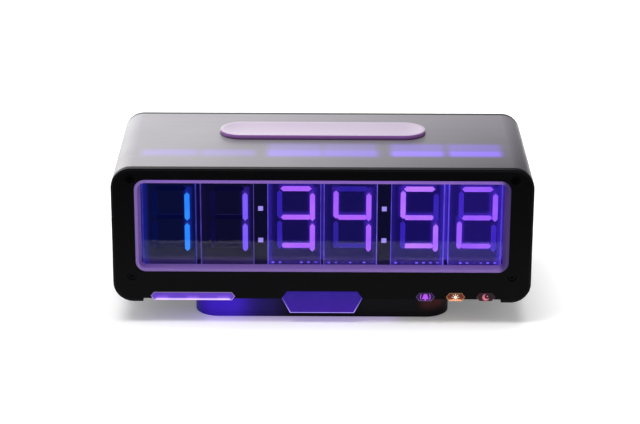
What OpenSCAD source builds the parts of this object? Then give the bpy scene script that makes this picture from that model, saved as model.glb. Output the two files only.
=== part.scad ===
// Edge-lit desk clock. Six digits stand behind a wide window, each a stack of seven
// clear plates with one engraved bar apiece. Millimetres, +Z up, front towards -Y.
// Profiles drawn with upright() are (x, height); those drawn with flat() are (x, depth),
// and depth is counted back from the front face of the bezel.

/* [Case] */
// Width of the case
case_w = 240; // [220:1:280]
// Height of the case, corner feet included
case_h = 80.7; // [78:0.1:100]
// Depth from the bezel's front face to the rear panel's outer face
case_d = 106; // [102:1:150]
// Radius of the long rounded corners of the case
case_corner_r = 11.5; // [9:0.5:14]
// Wall of the wrap-round shell
shell_wall_t = 2.5; // [2:0.1:3]
// Thickness of the front bezel
bezel_t = 4; // [3.5:0.1:5]
// Thickness of the rear panel
rear_panel_t = 3; // [2.5:0.1:4]
// Width of a corner foot, beside the shallow recess under the case
foot_w = 17; // [17:0.5:30]
// Depth of that recess
foot_gap_h = 1.9; // [1:0.1:2.4]
// Distance of the corner screws from the case's sides
post_side = 11; // [10.5:0.1:12]
// Height of the lower corner screws above the feet
post_low_h = 15.5; // [15.5:0.1:17]
// Distance of the upper corner screws below the top
post_top = 6.2; // [6:0.1:6.8]
// Radius of the posts that take the corner screws
post_r = 3; // [2.6:0.1:3.2]
// Length of those posts
post_l = 12; // [11:0.5:15]

/* [Stand] */
// Width of the plinth under the case
plinth_w = 147.6; // [140:0.2:180]
// Depth of the plinth
plinth_d = 90; // [84:1:94]
// Height of the plinth
plinth_h = 14.3; // [12.5:0.1:16]
// Radius of the plinth's upright corners
plinth_corner_r = 14; // [10:0.5:20]
// How far the plinth's front is set back from the bezel
plinth_setback = 8; // [7.5:0.5:12]
// Wall of the plinth
plinth_wall_t = 2.6; // [2:0.1:4]
// Floor of the plinth
plinth_floor_t = 2.6; // [2:0.1:4]
// Diameter of a rubber pad
pad_d = 12; // [8:0.5:16]
// Thickness of a rubber pad
pad_t = 2; // [1.6:0.1:2.4]
// How far the pads stand below the plinth
pad_proud = 0.8; // [0.5:0.1:1.2]
// Distance of a pad's centre from the plinth's sides
pad_inset = 13; // [12:0.5:18]

/* [Bottom tray] */
// Thickness of the tray
tray_t = 2.5; // [2.4:0.1:3]
// Thickness of the tray's side wings, which lie on the shell's lips
wing_t = 1.8; // [1.4:0.1:1.8]
// How far the wings run past the start of the case's rounded corners
wing_reach = 1; // [0.2:0.1:1]

/* [Window] */
// Margin beside the window trim
window_side = 13.2; // [13:0.1:20]
// Margin above the window trim
window_top = 6.9; // [6.5:0.1:8]
// Margin below the window trim
window_low = 18.5; // [17.5:0.1:18.5]
// Outer corner radius of the trim
trim_corner_r = 6; // [4:0.5:8]
// Width of the trim's front lip
trim_lip_w = 1.75; // [1.5:0.05:2.2]
// Depth from the trim's face to the lens
lens_depth = 7.3; // [7:0.1:9]
// How much each side wall of the trim leans in over that depth
trim_draft = 1.3; // [0.5:0.1:1.8]
// Flange of the trim behind the bezel
trim_flange_w = 1.5; // [1:0.1:1.6]
// Thickness of that flange
trim_flange_t = 2; // [1.5:0.1:2.4]
// Thickness of the lens
lens_t = 1; // [0.8:0.1:1.5]
// Wall of the trim around the lens
lens_rim_t = 0.9; // [0.8:0.05:1.1]

/* [Digits] */
// Plate thickness
plate_t = 1.5; // [1.2:0.05:1.6]
// Distance from one plate to the next
plate_pitch = 1.7; // [1.65:0.05:1.9]
// Gap between the two middle stacks
middle_gap = 1.7; // [1.5:0.1:3]
// Gap between the stacks of the outer pairs
pair_gap = 2.7; // [2:0.1:4]
// Gap that holds a colon
colon_gap = 7.9; // [7.8:0.1:10]
// Gap between the end stacks and the trim
end_gap = 0.5; // [0.3:0.1:2]
// Width of an engraved bar
bar_w = 2.9; // [2:0.1:4]
// Distance between the left and right bars
bar_span = 18.8; // [14:0.1:22]
// Distance between the top, middle and bottom bars
bar_rise = 18; // [14:0.1:19]
// Gap between the pointed ends of two bars
bar_gap = 1; // [0.1:0.05:1]
// Depth of the engraving
engrave_t = 0.4; // [0.2:0.05:0.6]
// Height of the digits' centre above the feet
digit_h = 45.7; // [43:0.1:46]
// Width of the tab on which a plate stands over its light
tab_w = 3.4; // [2.4:0.1:3.6]
// Distance across the stack from one tab to the next
tab_pitch = 4.1; // [3.9:0.05:4.2]
// How far the plates reach up past the trim
plate_head = 1.9; // [1.5:0.1:2.5]

/* [Plate holders] */
// Height of the lower holder
holder_h = 7; // [6.5:0.1:7]
// Thickness of the floor of its seats
holder_floor_t = 3.5; // [3:0.1:4]
// Room for the lights under the lower holder
light_room = 1.9; // [1.6:0.1:2.2]
// Thickness of the upper holder's front wall
upper_wall_t = 2.1; // [1.5:0.1:2.2]

/* [Colons] */
// Side of a colon's square light
dot_w = 2.9; // [2:0.1:4]
// Distance between the two lights of a colon
dot_rise = 19.3; // [14:0.1:24]
// Height of the colons' centre above the feet
dot_h = 44.2; // [42:0.1:46]
// Wall of the colon mask
mask_t = 1.2; // [0.8:0.1:1.4]
// Thickness of the light pipe in it
pipe_t = 3.6; // [3:0.1:5]

/* [Light baffle] */
// Depth of the light cells behind the digits
cell_d = 24.4; // [18:0.1:25]
// Wall of the baffle
baffle_t = 1.6; // [1.2:0.1:2]
// Height of the slots that let light into the cells
light_slot_h = 1.8; // [1:0.1:3]

/* [Circuit boards] */
// Thickness of the boards
board_t = 1.6; // [1.2:0.1:2]
// Height of the display board above the tray
display_lift = 3.8; // [3.6:0.1:4]
// Distance of the display board's ends from the case's sides
display_side = 8.5; // [8:0.1:9]
// Depth of the display board behind the light baffle
display_tail = 7.8; // [7.5:0.1:9]
// Length of the main board, side to side
main_w = 120; // [118:1:140]
// Height of the main board above the tray
main_lift = 5; // [4:0.1:6]
// Gap between the two boards
board_gap = 2; // [1.5:0.1:2.5]
// Diameter of the coin cell
coin_d = 20; // [16:0.5:20]
// Thickness of the coin cell
coin_t = 3.2; // [1.6:0.1:3.2]
// Diameter of the buzzer
buzzer_d = 12; // [9:0.5:14]
// Height of the buzzer
buzzer_h = 8.5; // [6:0.5:9]

/* [Indicator plates] */
// Thickness of the flange that holds an indicator plate behind the bezel
tile_flange_t = 2; // [1.5:0.1:2]
// How far the plates' faces are set back from the bezel's face
tile_recess = 0.3; // [0:0.1:0.6]
// Height of the flanges' upper edge above the case's floor
tile_reach = 4.9; // [4.5:0.1:5]
// How far the flanges reach past the sides of the plates
tile_ear_w = 1.5; // [0.5:0.1:2]
// Distance from one indicator light to the next
tile_pitch = 17.4; // [16:0.1:18]
// Width of the label plate
label_w = 48.6; // [36:0.2:50]
// Height of the label plate and the icon plates
label_h = 5; // [4:0.1:5.2]
// Slope of their pointed ends
label_point = 2; // [1:0.1:3]
// How far their lower edges are above the feet
label_lift = 0.6; // [0.4:0.1:1]
// Distance from the label plate to the foot beside it
label_gap = 4.3; // [2:0.1:8]
// Width of an icon plate
icon_w = 11; // [9:0.2:12]
// Distance from the outermost icon plate to the foot beside it
icon_gap = 3.2; // [2:0.1:8]
// Width of the badge plate where it leaves the bezel
badge_w = 46.7; // [40:0.1:56]
// Slope of its sides inside the bezel
badge_slope_up = 3.3; // [2:0.1:5]
// Slope of its sides below the bezel
badge_slope_down = 4.8; // [2:0.1:6]
// How far it reaches up into the bezel
badge_up = 4.4; // [3:0.1:4.4]
// How far it hangs below the bezel
badge_down = 9.2; // [6:0.1:10]

/* [Snooze bar] */
// Length of the snooze bar
snooze_l = 121; // [100:1:140]
// Width of the snooze bar
snooze_w = 26; // [22:0.5:29]
// How far it stands above the case
snooze_proud = 2.7; // [2:0.1:4]
// Distance of its centre from the bezel's face
snooze_setback = 66.5; // [66:0.5:70]
// Depth of the dish in its top
dish_t = 1.5; // [0.6:0.1:2]
// Width of the rim round the dish
dish_rim_w = 1.6; // [1:0.1:3]
// How far the bar travels down
snooze_travel = 1.5; // [1:0.1:2]
// Width of the flange that keeps the bar in the case
snooze_flange_w = 1.6; // [1:0.1:2]
// Thickness of that flange
snooze_flange_t = 1.6; // [1.2:0.1:2]
// Wall of the bar
snooze_wall_t = 2; // [1.6:0.1:2.4]
// Distance of the guide posts from the middle
guide_x = 42; // [30:1:48]
// Diameter of a guide post
guide_d = 5; // [4:0.1:6]
// Distance between the case's top wall and the carrier under it
carrier_drop = 7.2; // [7:0.1:8]
// Thickness of the carrier
carrier_t = 2; // [1.6:0.1:3]
// Wire of the springs
spring_wire_d = 0.8; // [0.6:0.1:1]
// Turns of a spring
spring_turns = 4; // [3:1:5]

/* [Rear controls] */
// Diameter of a rear button
button_d = 7; // [5:0.1:8]
// How far a button stands out of the rear panel
button_proud = 1.5; // [1:0.1:2.5]
// How far a button travels
button_travel = 0.6; // [0.3:0.1:0.9]
// Distance from one button to the next
button_pitch = 15; // [12:0.5:16]
// Distance of the middle button from the middle
button_x = 30; // [28:1:34]
// Distance of the power inlet from the middle
inlet_x = 40; // [30:1:46]
// Width of the power plug's pocket
pocket_w = 13; // [12.5:0.1:15]
// Height of the pocket
pocket_h = 7.5; // [7.3:0.1:8]
// Number of air slots in each group
vent_count = 6; // [2:1:8]
// Width of an air slot
vent_w = 2; // [1.5:0.1:2.5]
// Height of an air slot
vent_h = 20; // [10:1:30]

/* [Fits] */
// Gap round a piece that seats in an opening
seat_gap = 0.15; // [0.1:0.05:0.25]
// Radial gap round a moving post or button
slide_gap = 0.1; // [0.05:0.01:0.1]
// Gap round the snooze bar
bar_clear = 0.35; // [0.25:0.05:0.5]
// Gap between faces that rest near each other
rest_gap = 0.1; // [0.05:0.05:0.2]
// Gap between a screw and its pilot hole
pilot_gap = 0.05; // [0.02:0.01:0.1]

/* [Hidden] */
$fn = 48;
eps = 0.5;

// Depths
face_y = -(case_d + button_proud) / 2;
shell_end = case_d - rear_panel_t;
lens_back = lens_depth + lens_t;
stack_front = lens_back + 2 * seat_gap;
stack_back = stack_front + 6 * plate_pitch + plate_t;
baffle_front = stack_back + 2 * seat_gap;
cell_front = baffle_front + baffle_t;
cell_back = cell_front + cell_d;
baffle_back = cell_back + baffle_t;
tray_front = bezel_t + tile_flange_t + 2 * seat_gap;
tray_back = shell_end - 2 * rest_gap;
display_front = bezel_t + 2 * seat_gap;
display_back = baffle_back + display_tail;
main_front = display_back + board_gap;
main_back = shell_end - 2.5;

// Heights
floor_z = pad_proud + plinth_h;
feet_z = floor_z - foot_gap_h;
top_z = feet_z + case_h;
inner_top_z = top_z - shell_wall_t;
lip_z = feet_z + shell_wall_t;
tray_z = floor_z + tray_t;
display_z = tray_z + display_lift;
display_top_z = display_z + board_t;
main_z = tray_z + main_lift;
main_top_z = main_z + board_t;
window_z0 = feet_z + window_low;
window_z1 = top_z - window_top;
holder_z0 = display_top_z + light_room;
holder_z1 = holder_z0 + holder_h;
seat_z = holder_z0 + holder_floor_t;
upper_z0 = window_z1 + 2 * rest_gap;
upper_z1 = inner_top_z - 3 * rest_gap;
plate_z0 = seat_z + rest_gap;
plate_z1 = window_z1 + plate_head;
tab_z = holder_z0 + 4 * rest_gap;
digit_z = feet_z + digit_h;
dot_z = feet_z + dot_h;
tile_flange_z = floor_z + tile_reach;

// Indicator plates, as [centre, width]
foot_gap_w = case_w - 2 * foot_w;
label_x = foot_gap_w / 2 - label_gap - label_w / 2;
icon_x = foot_gap_w / 2 - icon_gap - icon_w / 2 - tile_pitch;
tiles = concat([[0, badge_w], [-label_x, label_w]],
               [for (i = [-1:1]) [icon_x + i * tile_pitch, icon_w]]);

// Window and digit stacks
window_w = case_w - 2 * window_side;
window_h = window_z1 - window_z0;
opening_w = window_w - 2 * trim_lip_w;
glass_half = opening_w / 2 - trim_draft;
plate_w = (2 * (glass_half - end_gap) - middle_gap - 2 * colon_gap - 2 * pair_gap) / 6;
right_x = [
    (middle_gap + plate_w) / 2,
    middle_gap / 2 + plate_w * 1.5 + colon_gap,
    middle_gap / 2 + plate_w * 2.5 + colon_gap + pair_gap
];
digit_x = [-right_x[2], -right_x[1], -right_x[0], right_x[0], right_x[1], right_x[2]];
colon_x = middle_gap / 2 + plate_w + colon_gap / 2;
stack_half = right_x[2] + plate_w / 2;
holder_half = stack_half + 1.7;

// Which bar each plate carries, front to back, as (across, up) in half steps, and whether it lies flat
plate_bars = [
    [1, -1, false], [1, 1, false], [-1, -1, false], [-1, 1, false],
    [0, 2, true], [0, 0, true], [0, -2, true]
];

// Corner screws, board screws and the rest of the fasteners
post_x = case_w / 2 - post_side;
post_z = [feet_z + post_low_h, top_z - post_top];
screw_r = 1.2;
screw_head_r = 2.3;
screw_head_h = 1.7;
screw_clear = 0.3;
pilot_r = screw_r + pilot_gap;
clear_r = screw_r + screw_clear;
head_clear_r = screw_head_r + screw_clear;
head_sink = 0.6;
rear_head_sink = 0.1;
tray_head_sink = 1.2;
plinth_boss_top_t = 3;
bezel_screw_l = 10.5;
rear_screw_l = 9.5;
tray_screw_l = 5.5;
plinth_screw_l = 7;
ear_t = 2;
board_screw_l = 4.5;
main_screw_l = 5.5;
carrier_screw_grip = 4.5;
display_half = case_w / 2 - display_side;
board_post_x = display_half - 3.6;
board_post_d = [cell_front + cell_d / 2, display_back - 4];
board_post_r = 2.8;
main_half = main_w / 2;
main_post_x = main_half - 4;
main_post_d = [main_front + 4, main_back - 6.5];
wing_half = case_w / 2 - case_corner_r + wing_reach;
tray_screw_x = foot_gap_w / 2 + 3.8;
tray_screw_d = [14, shell_end - 8];
plinth_front = plinth_setback;
plinth_back = plinth_setback + plinth_d;
pad_x = plinth_w / 2 - pad_inset;
pad_depths = [plinth_front + pad_inset, plinth_back - pad_inset];
plinth_boss_r = 4.5;

// Snooze mechanism
snooze_top_z = top_z + snooze_proud;
snooze_flange_z1 = inner_top_z - rest_gap;
snooze_flange_z0 = snooze_flange_z1 - snooze_flange_t;
snooze_inner_z = snooze_top_z - dish_t - snooze_wall_t;
carrier_z1 = inner_top_z - carrier_drop;
carrier_z0 = carrier_z1 - carrier_t;
carrier_w = snooze_w + 6;
carrier_screw_x = snooze_l / 2 + snooze_flange_w + post_r + 2.4;
carrier_screw_d = [snooze_setback - 9, snooze_setback + 9];
carrier_l = 2 * carrier_screw_x + 9;
guide_z = carrier_z0 - 1;
spring_r = guide_d / 2 + 0.3 + spring_wire_d / 2;
snooze_board_z1 = carrier_z1 + board_t;
snooze_switch_h = 3.5;
snooze_switch_z1 = snooze_board_z1 + snooze_switch_h;
plunger_r = 1.75;
plunger_stand = snooze_travel + 2 * rest_gap;
lead_x = 14;

// Rear controls
button_z = main_top_z + 3;
button_xs = [button_x - button_pitch, button_x, button_x + button_pitch];
button_flange_r = button_d / 2 + 1.2;
button_flange_d0 = shell_end - 1.4;
button_flange_d1 = shell_end - 2 * rest_gap;
switch_side = 6;
switch_l = 4.5;
switch_back_gap = 3.5;
switch_d1 = shell_end - switch_back_gap;
switch_d0 = switch_d1 - switch_l;
usb_w = 8.94;
usb_h = 3.26;
usb_l = 7.3;
usb_back_gap = 0.5;
usb_d1 = shell_end - usb_back_gap;
usb_d0 = usb_d1 - usb_l;
usb_z = main_top_z + usb_h / 2;
vent_x = 64;
vent_z = feet_z + case_h * 0.62;

black = "#101012";
mauve = "#5c4a88";
lilac = "#cdb9d7";
smoke = "#77757c";
clear = [0.55, 0.5, 0.95, 0.35];
board_green = "#123a26";
steel = "#b9bcc2";

// ---------- shared forms ----------

// Extrudes a front-view profile (x, height) from one depth to another
module upright(d0, d1) {
    translate([0, face_y + d1, 0]) rotate([90, 0, 0]) linear_extrude(d1 - d0) children();
}

// Extrudes a plan profile (x, depth) from one height to another
module flat(z0, z1) {
    translate([0, face_y, z0]) linear_extrude(z1 - z0) children();
}

// Rectangle between two corners
module rect(x0, x1, y0, y1) {
    translate([x0, y0]) square([x1 - x0, y1 - y0]);
}

// Rectangle with rounded corners, centred
module rounded(w, h, r) {
    square([w - 2 * r, h], center = true);
    square([w, h - 2 * r], center = true);
    for (sx = [-1, 1], sy = [-1, 1])
        translate([sx * (w / 2 - r), sy * (h / 2 - r)]) circle(r);
}

// Bar with round ends, centred
module stadium(l, w) {
    square([l - w, w], center = true);
    for (s = [-1, 1]) translate([s * (l - w) / 2, 0]) circle(w / 2);
}

// Six-sided plate outline: widest at its middle height
module hexagon(z0, z_wide, z1, w, in_low, in_high) {
    polygon([
        [-w / 2, z_wide], [-w / 2 + in_low, z0], [w / 2 - in_low, z0],
        [w / 2, z_wide], [w / 2 - in_high, z1], [-w / 2 + in_high, z1]
    ]);
}

// Front view of the case, drawn in by inset
module case_outline(inset = 0) {
    translate([0, feet_z + case_h / 2])
        rounded(case_w - 2 * inset, case_h - 2 * inset, case_corner_r - inset);
}

// The case's outline with the recess between its feet
module footed_outline() {
    difference() {
        case_outline();
        rect(-foot_gap_w / 2, foot_gap_w / 2, feet_z - eps, floor_z);
    }
}

// Front view of the window, grown outwards by grow
module window_outline(grow = 0) {
    translate([0, (window_z0 + window_z1) / 2])
        rounded(window_w + 2 * grow, window_h + 2 * grow, trim_corner_r + grow);
}

// Pan-head screw along +Z: head above the origin, shank below it
module screw(shank_l) {
    difference() {
        cylinder(r = screw_head_r, h = screw_head_h);
        translate([0, 0, screw_head_h - 1]) cylinder(r = 1.1, h = 1 + eps, $fn = 6);
    }
    translate([0, 0, -shank_l]) cylinder(r = screw_r, h = shank_l);
}

// Places children on the four corner posts, facing the front
module at_posts() {
    for (sx = [-1, 1], z = post_z) translate([sx * post_x, 0, z]) children();
}

// Cylinder along the depth axis between two depths
module along(d0, d1, r) {
    translate([0, face_y + d1, 0]) rotate([90, 0, 0]) cylinder(r = r, h = d1 - d0);
}

// Places children at every pair of side and depth
module at_spots(x, depths) {
    for (sx = [-1, 1], d = depths) translate([sx * x, face_y + d, 0]) children();
}

// Upright cylinder between two heights
module tube(z0, z1, r) {
    translate([0, 0, z0]) cylinder(r = r, h = z1 - z0);
}

// Ring of points round p in the plane of n1 and n2
function ring(p, n1, n2, r, sides) =
    [for (k = [0:sides - 1]) p + r * (cos(360 * k / sides) * n1 + sin(360 * k / sides) * n2)];

// Unit vector
function unit(v) = v / norm(v);

// Wire of radius r along points, its rings set square to the path
module wire(points, r, sides, side_hint) {
    last = len(points) - 1;
    rings = [for (i = [0:last])
        let (t = unit(points[min(i + 1, last)] - points[max(i - 1, 0)]),
             n1 = unit(cross(side_hint, t)), n2 = cross(t, n1))
        ring(points[i], n1, n2, r, sides)];
    skin = [for (i = [0:last - 1], k = [0:sides - 1])
        let (a = i * sides + k, b = i * sides + (k + 1) % sides)
        each [[a, a + sides, b + sides], [a, b + sides, b]]];
    near_end = [for (k = [0:sides - 1]) k];
    far_end = [for (k = [sides - 1:-1:0]) last * sides + k];
    polyhedron([for (one = rings) each one], concat([near_end, far_end], skin));
}

// ---------- front ----------

module label_outline(grow = 0) {
    hexagon(feet_z + label_lift - grow, feet_z + label_lift + label_h / 2,
            feet_z + label_lift + label_h + grow, label_w + 2 * grow,
            label_point + grow / 2, label_point + grow / 2);
}

module icon_outline(grow = 0) {
    hexagon(feet_z + label_lift - grow, feet_z + label_lift + label_h / 2,
            feet_z + label_lift + label_h + grow, icon_w + 2 * grow,
            label_point + grow / 2, label_point + grow / 2);
}

module badge_outline(grow = 0) {
    hexagon(floor_z - badge_down - grow, floor_z, floor_z + badge_up + grow, badge_w + 2 * grow,
            badge_slope_down, badge_slope_up);
}

module front_bezel() {
    color(black) difference() {
        upright(0, bezel_t) footed_outline();
        upright(-eps, bezel_t + eps) {
            window_outline(seat_gap);
            badge_outline(seat_gap);
            translate([-label_x, 0]) label_outline(seat_gap);
            for (i = [-1:1]) translate([icon_x + i * tile_pitch, 0]) icon_outline(seat_gap);
        }
        at_posts() {
            along(-eps, bezel_t + eps, clear_r);
            along(-eps, head_sink + screw_head_h, head_clear_r);
        }
    }
}

// Ring round the window with a flange behind the bezel, a rabbet for the lens and leaning sides
module window_trim() {
    color(mauve) {
        difference() {
            union() {
                upright(0, lens_back) window_outline();
                upright(bezel_t, bezel_t + trim_flange_t) window_outline(trim_flange_w);
            }
            upright(-eps, lens_back + eps) window_outline(-trim_lip_w);
            upright(lens_depth, lens_back + eps) window_outline(-lens_rim_t);
        }
        intersection() {
            upright(0, lens_depth) window_outline(-trim_lip_w + seat_gap);
            for (s = [0, 1]) mirror([s, 0, 0])
                translate([0, face_y, window_z0 + lens_rim_t])
                    linear_extrude(window_h - 2 * lens_rim_t)
                        polygon([
                            [opening_w / 2, 0], [opening_w / 2 - trim_draft, lens_depth],
                            [window_w / 2 - lens_rim_t, lens_depth],
                            [window_w / 2 - lens_rim_t, 0]
                        ]);
        }
    }
}

module window_lens() {
    color(clear) upright(lens_depth, lens_back) window_outline(-lens_rim_t - seat_gap);
}

// Flange of an indicator plate, hidden behind the bezel
module tile_flange(w) {
    upright(bezel_t, bezel_t + tile_flange_t)
        rect(-w / 2 - tile_ear_w, w / 2 + tile_ear_w, floor_z + rest_gap, tile_flange_z);
}

module badge_plate() {
    color(clear) {
        upright(tile_recess, bezel_t) badge_outline();
        tile_flange(badge_w);
    }
}

module label_plate() {
    color(clear) translate([-label_x, 0, 0]) {
        upright(tile_recess, bezel_t) label_outline();
        tile_flange(label_w);
    }
}

module icon_plate(x) {
    color(clear) translate([x, 0, 0]) {
        upright(tile_recess, bezel_t) icon_outline();
        tile_flange(icon_w);
    }
}

// ---------- case ----------

// A corner post with webs that tie it to the side wall and, at the top, to the top wall
module post(z, d0, d1) {
    upright(d0, d1) {
        translate([post_x, z]) circle(post_r);
        rect(post_x, case_w / 2 - shell_wall_t + eps, z - 1, z + 1);
        if (z > feet_z + case_h / 2) rect(post_x - 1, post_x + 1, z, inner_top_z + eps);
    }
}

module shell() {
    front = bezel_t;
    color(smoke) difference() {
        union() {
            upright(front, shell_end) difference() {
                case_outline();
                case_outline(shell_wall_t);
                rect(-foot_gap_w / 2, foot_gap_w / 2, feet_z - eps, lip_z + eps);
            }
            for (s = [0, 1]) mirror([s, 0, 0])
                for (z = post_z) {
                    post(z, front, front + post_l);
                    post(z, shell_end - post_l, shell_end);
                }
            at_spots(carrier_screw_x, carrier_screw_d) tube(carrier_z1, inner_top_z + eps, post_r);
        }
        at_posts() {
            along(front - eps, front + post_l - 2, pilot_r);
            along(shell_end - post_l + 2, shell_end + eps, pilot_r);
        }
        translate([0, face_y + snooze_setback, inner_top_z - eps])
            linear_extrude(shell_wall_t + 2 * eps)
                stadium(snooze_l + 2 * bar_clear, snooze_w + 2 * bar_clear);
        at_spots(carrier_screw_x, carrier_screw_d)
            tube(carrier_z1 - eps, inner_top_z - 1, pilot_r);
        at_spots(tray_screw_x, tray_screw_d) {
            tube(feet_z - eps, lip_z + eps, clear_r);
            tube(feet_z - eps, feet_z + tray_head_sink, head_clear_r);
        }
    }
}

module rear_panel() {
    color(black) difference() {
        upright(shell_end, case_d) footed_outline();
        at_posts() {
            along(shell_end - eps, case_d + eps, clear_r);
            along(case_d - rear_head_sink - screw_head_h, case_d + eps, head_clear_r);
        }
        for (x = button_xs) translate([x, 0, button_z])
            along(shell_end - eps, case_d + eps, button_d / 2 + slide_gap);
        upright(shell_end - eps, case_d + eps) {
            translate([-inlet_x, usb_z]) rounded(pocket_w, pocket_h, 2);
            for (s = [-1, 1], i = [0:vent_count - 1])
                translate([s * (vent_x + (i - (vent_count - 1) / 2) * 2.5 * vent_w), vent_z])
                    rotate(90) stadium(vent_h, vent_w);
        }
    }
}

module bottom_tray() {
    color(black) difference() {
        union() {
            flat(floor_z, tray_z) difference() {
                rect(-foot_gap_w / 2 + seat_gap, foot_gap_w / 2 - seat_gap,
                     bezel_t + rest_gap, tray_back);
                for (tile = tiles)
                    translate([tile[0], 0])
                        rect(-tile[1] / 2 - tile_ear_w - seat_gap,
                             tile[1] / 2 + tile_ear_w + seat_gap, 0, tray_front);
            }
            flat(tray_z - wing_t, tray_z) rect(-wing_half, wing_half, tray_front, tray_back);
            at_spots(board_post_x, board_post_d) tube(tray_z - eps, display_z, board_post_r);
            at_spots(main_post_x, main_post_d) tube(tray_z - eps, main_z, board_post_r);
            at_spots(tray_screw_x, tray_screw_d) tube(tray_z - eps, display_z - 0.4, board_post_r);
            at_spots(pad_x, pad_depths) tube(tray_z - eps, display_z - 0.4, post_r);
        }
        at_spots(board_post_x, board_post_d) tube(tray_z - 0.8, display_z + eps, pilot_r);
        at_spots(main_post_x, main_post_d) tube(tray_z - 0.8, main_z + eps, pilot_r);
        at_spots(tray_screw_x, tray_screw_d) tube(floor_z - eps, display_z - 1.2, pilot_r);
        at_spots(pad_x, pad_depths) tube(floor_z - eps, display_z - 1.2, pilot_r);
    }
}

// ---------- stand ----------

module plinth_plan(inset = 0) {
    translate([0, (plinth_front + plinth_back) / 2])
        rounded(plinth_w - 2 * inset, plinth_d - 2 * inset, plinth_corner_r - inset);
}

module base_plinth() {
    color(black) difference() {
        union() {
            difference() {
                flat(pad_proud, floor_z) plinth_plan();
                flat(pad_proud + plinth_floor_t, floor_z + eps) plinth_plan(plinth_wall_t);
            }
            at_spots(pad_x, pad_depths)
                tube(pad_proud + plinth_floor_t - eps, floor_z, plinth_boss_r);
        }
        at_spots(pad_x, pad_depths)
            tube(pad_proud - eps, pad_t, pad_d / 2 + seat_gap);
        at_spots(pad_x, pad_depths) {
            tube(pad_proud - eps, floor_z + eps, clear_r);
            tube(pad_proud - eps, floor_z - plinth_boss_top_t, head_clear_r);
        }
    }
}

module plinth_pads() {
    color("#1c1c1e") at_spots(pad_x, pad_depths) tube(0, pad_t, pad_d / 2);
}

// ---------- digits ----------

// One engraved bar with pointed ends, lying flat or standing
module bar(l, flat_bar) {
    rotate(flat_bar ? 0 : 90) polygon([
        [-l / 2, 0], [-l / 2 + bar_w / 2, -bar_w / 2], [l / 2 - bar_w / 2, -bar_w / 2],
        [l / 2, 0], [l / 2 - bar_w / 2, bar_w / 2], [-l / 2 + bar_w / 2, bar_w / 2]
    ]);
}

// Seven plates, each with one bar cut into its back and a tab at its own place along the foot
module digit_plates(x) {
    color(clear) for (i = [0:6]) {
        d0 = stack_front + i * plate_pitch;
        spot = plate_bars[i];
        l = (spot[2] ? bar_span : bar_rise) - bar_gap;
        difference() {
            upright(d0, d0 + plate_t) {
                rect(x - plate_w / 2, x + plate_w / 2, plate_z0, plate_z1);
                translate([x + (i - 3) * tab_pitch, 0])
                    rect(-tab_w / 2, tab_w / 2, tab_z, plate_z0 + eps);
            }
            upright(d0 + plate_t - engrave_t, d0 + plate_t + eps)
                translate([x + spot[0] * bar_span / 2, digit_z + spot[1] * bar_rise / 2])
                    bar(l, spot[2]);
        }
    }
}

// Seat of one stack in plan: from the trim back to the baffle
module stack_seat(x) {
    rect(x - plate_w / 2 - seat_gap, x + plate_w / 2 + seat_gap, 0, baffle_front + eps);
}

pipe_w = 4;
mask_front = stack_front + 0.4;
pipe_front = mask_front + mask_t + seat_gap;
pipe_back = pipe_front + pipe_t;

module lower_plate_holder() {
    front = lens_back + rest_gap;
    end_feet_w = 1.4;
    color(black) difference() {
        union() {
            flat(holder_z0, holder_z1) rect(-holder_half, holder_half, front, baffle_front);
            for (s = [-1, 1])
                flat(display_top_z, holder_z0 + eps)
                    translate([s * (holder_half - end_feet_w / 2), 0])
                        rect(-end_feet_w / 2, end_feet_w / 2, front, baffle_front);
        }
        for (x = digit_x) {
            flat(seat_z, holder_z1 + eps) stack_seat(x);
            for (i = [0:6])
                flat(holder_z0 - eps, seat_z + eps)
                    translate([x + (i - 3) * tab_pitch, stack_front + i * plate_pitch])
                        rect(-tab_w / 2 - rest_gap, tab_w / 2 + rest_gap, -0.04, plate_t + 0.04);
        }
        for (s = [-1, 1]) flat(holder_z0 - eps, holder_z1 + eps)
            translate([s * colon_x, 0])
                rect(-pipe_w / 2 - seat_gap, pipe_w / 2 + seat_gap,
                     pipe_front - seat_gap, pipe_back + seat_gap);
    }
}

module upper_plate_holder() {
    front = stack_front - rest_gap - upper_wall_t;
    color(black) difference() {
        flat(upper_z0, upper_z1) rect(-holder_half, holder_half, front, baffle_front);
        for (x = digit_x) flat(upper_z0 - eps, upper_z1 + eps) intersection() {
            stack_seat(x);
            rect(-holder_half, holder_half, front + upper_wall_t, baffle_front + eps);
        }
    }
}

// ---------- colons ----------

module dots(side, d0, d1) {
    upright(d0, d1) for (s = [-1, 1])
        translate([0, dot_z + s * dot_rise / 2]) square(side, center = true);
}

module colon_masks() {
    half = colon_gap / 2 - 0.2;
    color(black) for (s = [-1, 1]) translate([s * colon_x, 0, 0]) difference() {
        flat(holder_z1, upper_z0) rect(-half, half, mask_front, baffle_front);
        flat(holder_z1 - eps, upper_z0 - mask_t)
            rect(-half + mask_t, half - mask_t, mask_front + mask_t, baffle_front + eps);
        dots(dot_w, mask_front - eps, mask_front + mask_t + eps);
    }
}

module colon_light_pipes() {
    color(clear) for (s = [-1, 1]) translate([s * colon_x, 0, 0]) {
        flat(tab_z, dot_z + dot_rise / 2 + dot_w / 2)
            rect(-pipe_w / 2, pipe_w / 2, pipe_front, pipe_back);
        dots(dot_w - 2 * slide_gap, mask_front + rest_gap, pipe_front + rest_gap);
    }
}

// ---------- light baffle ----------

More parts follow.
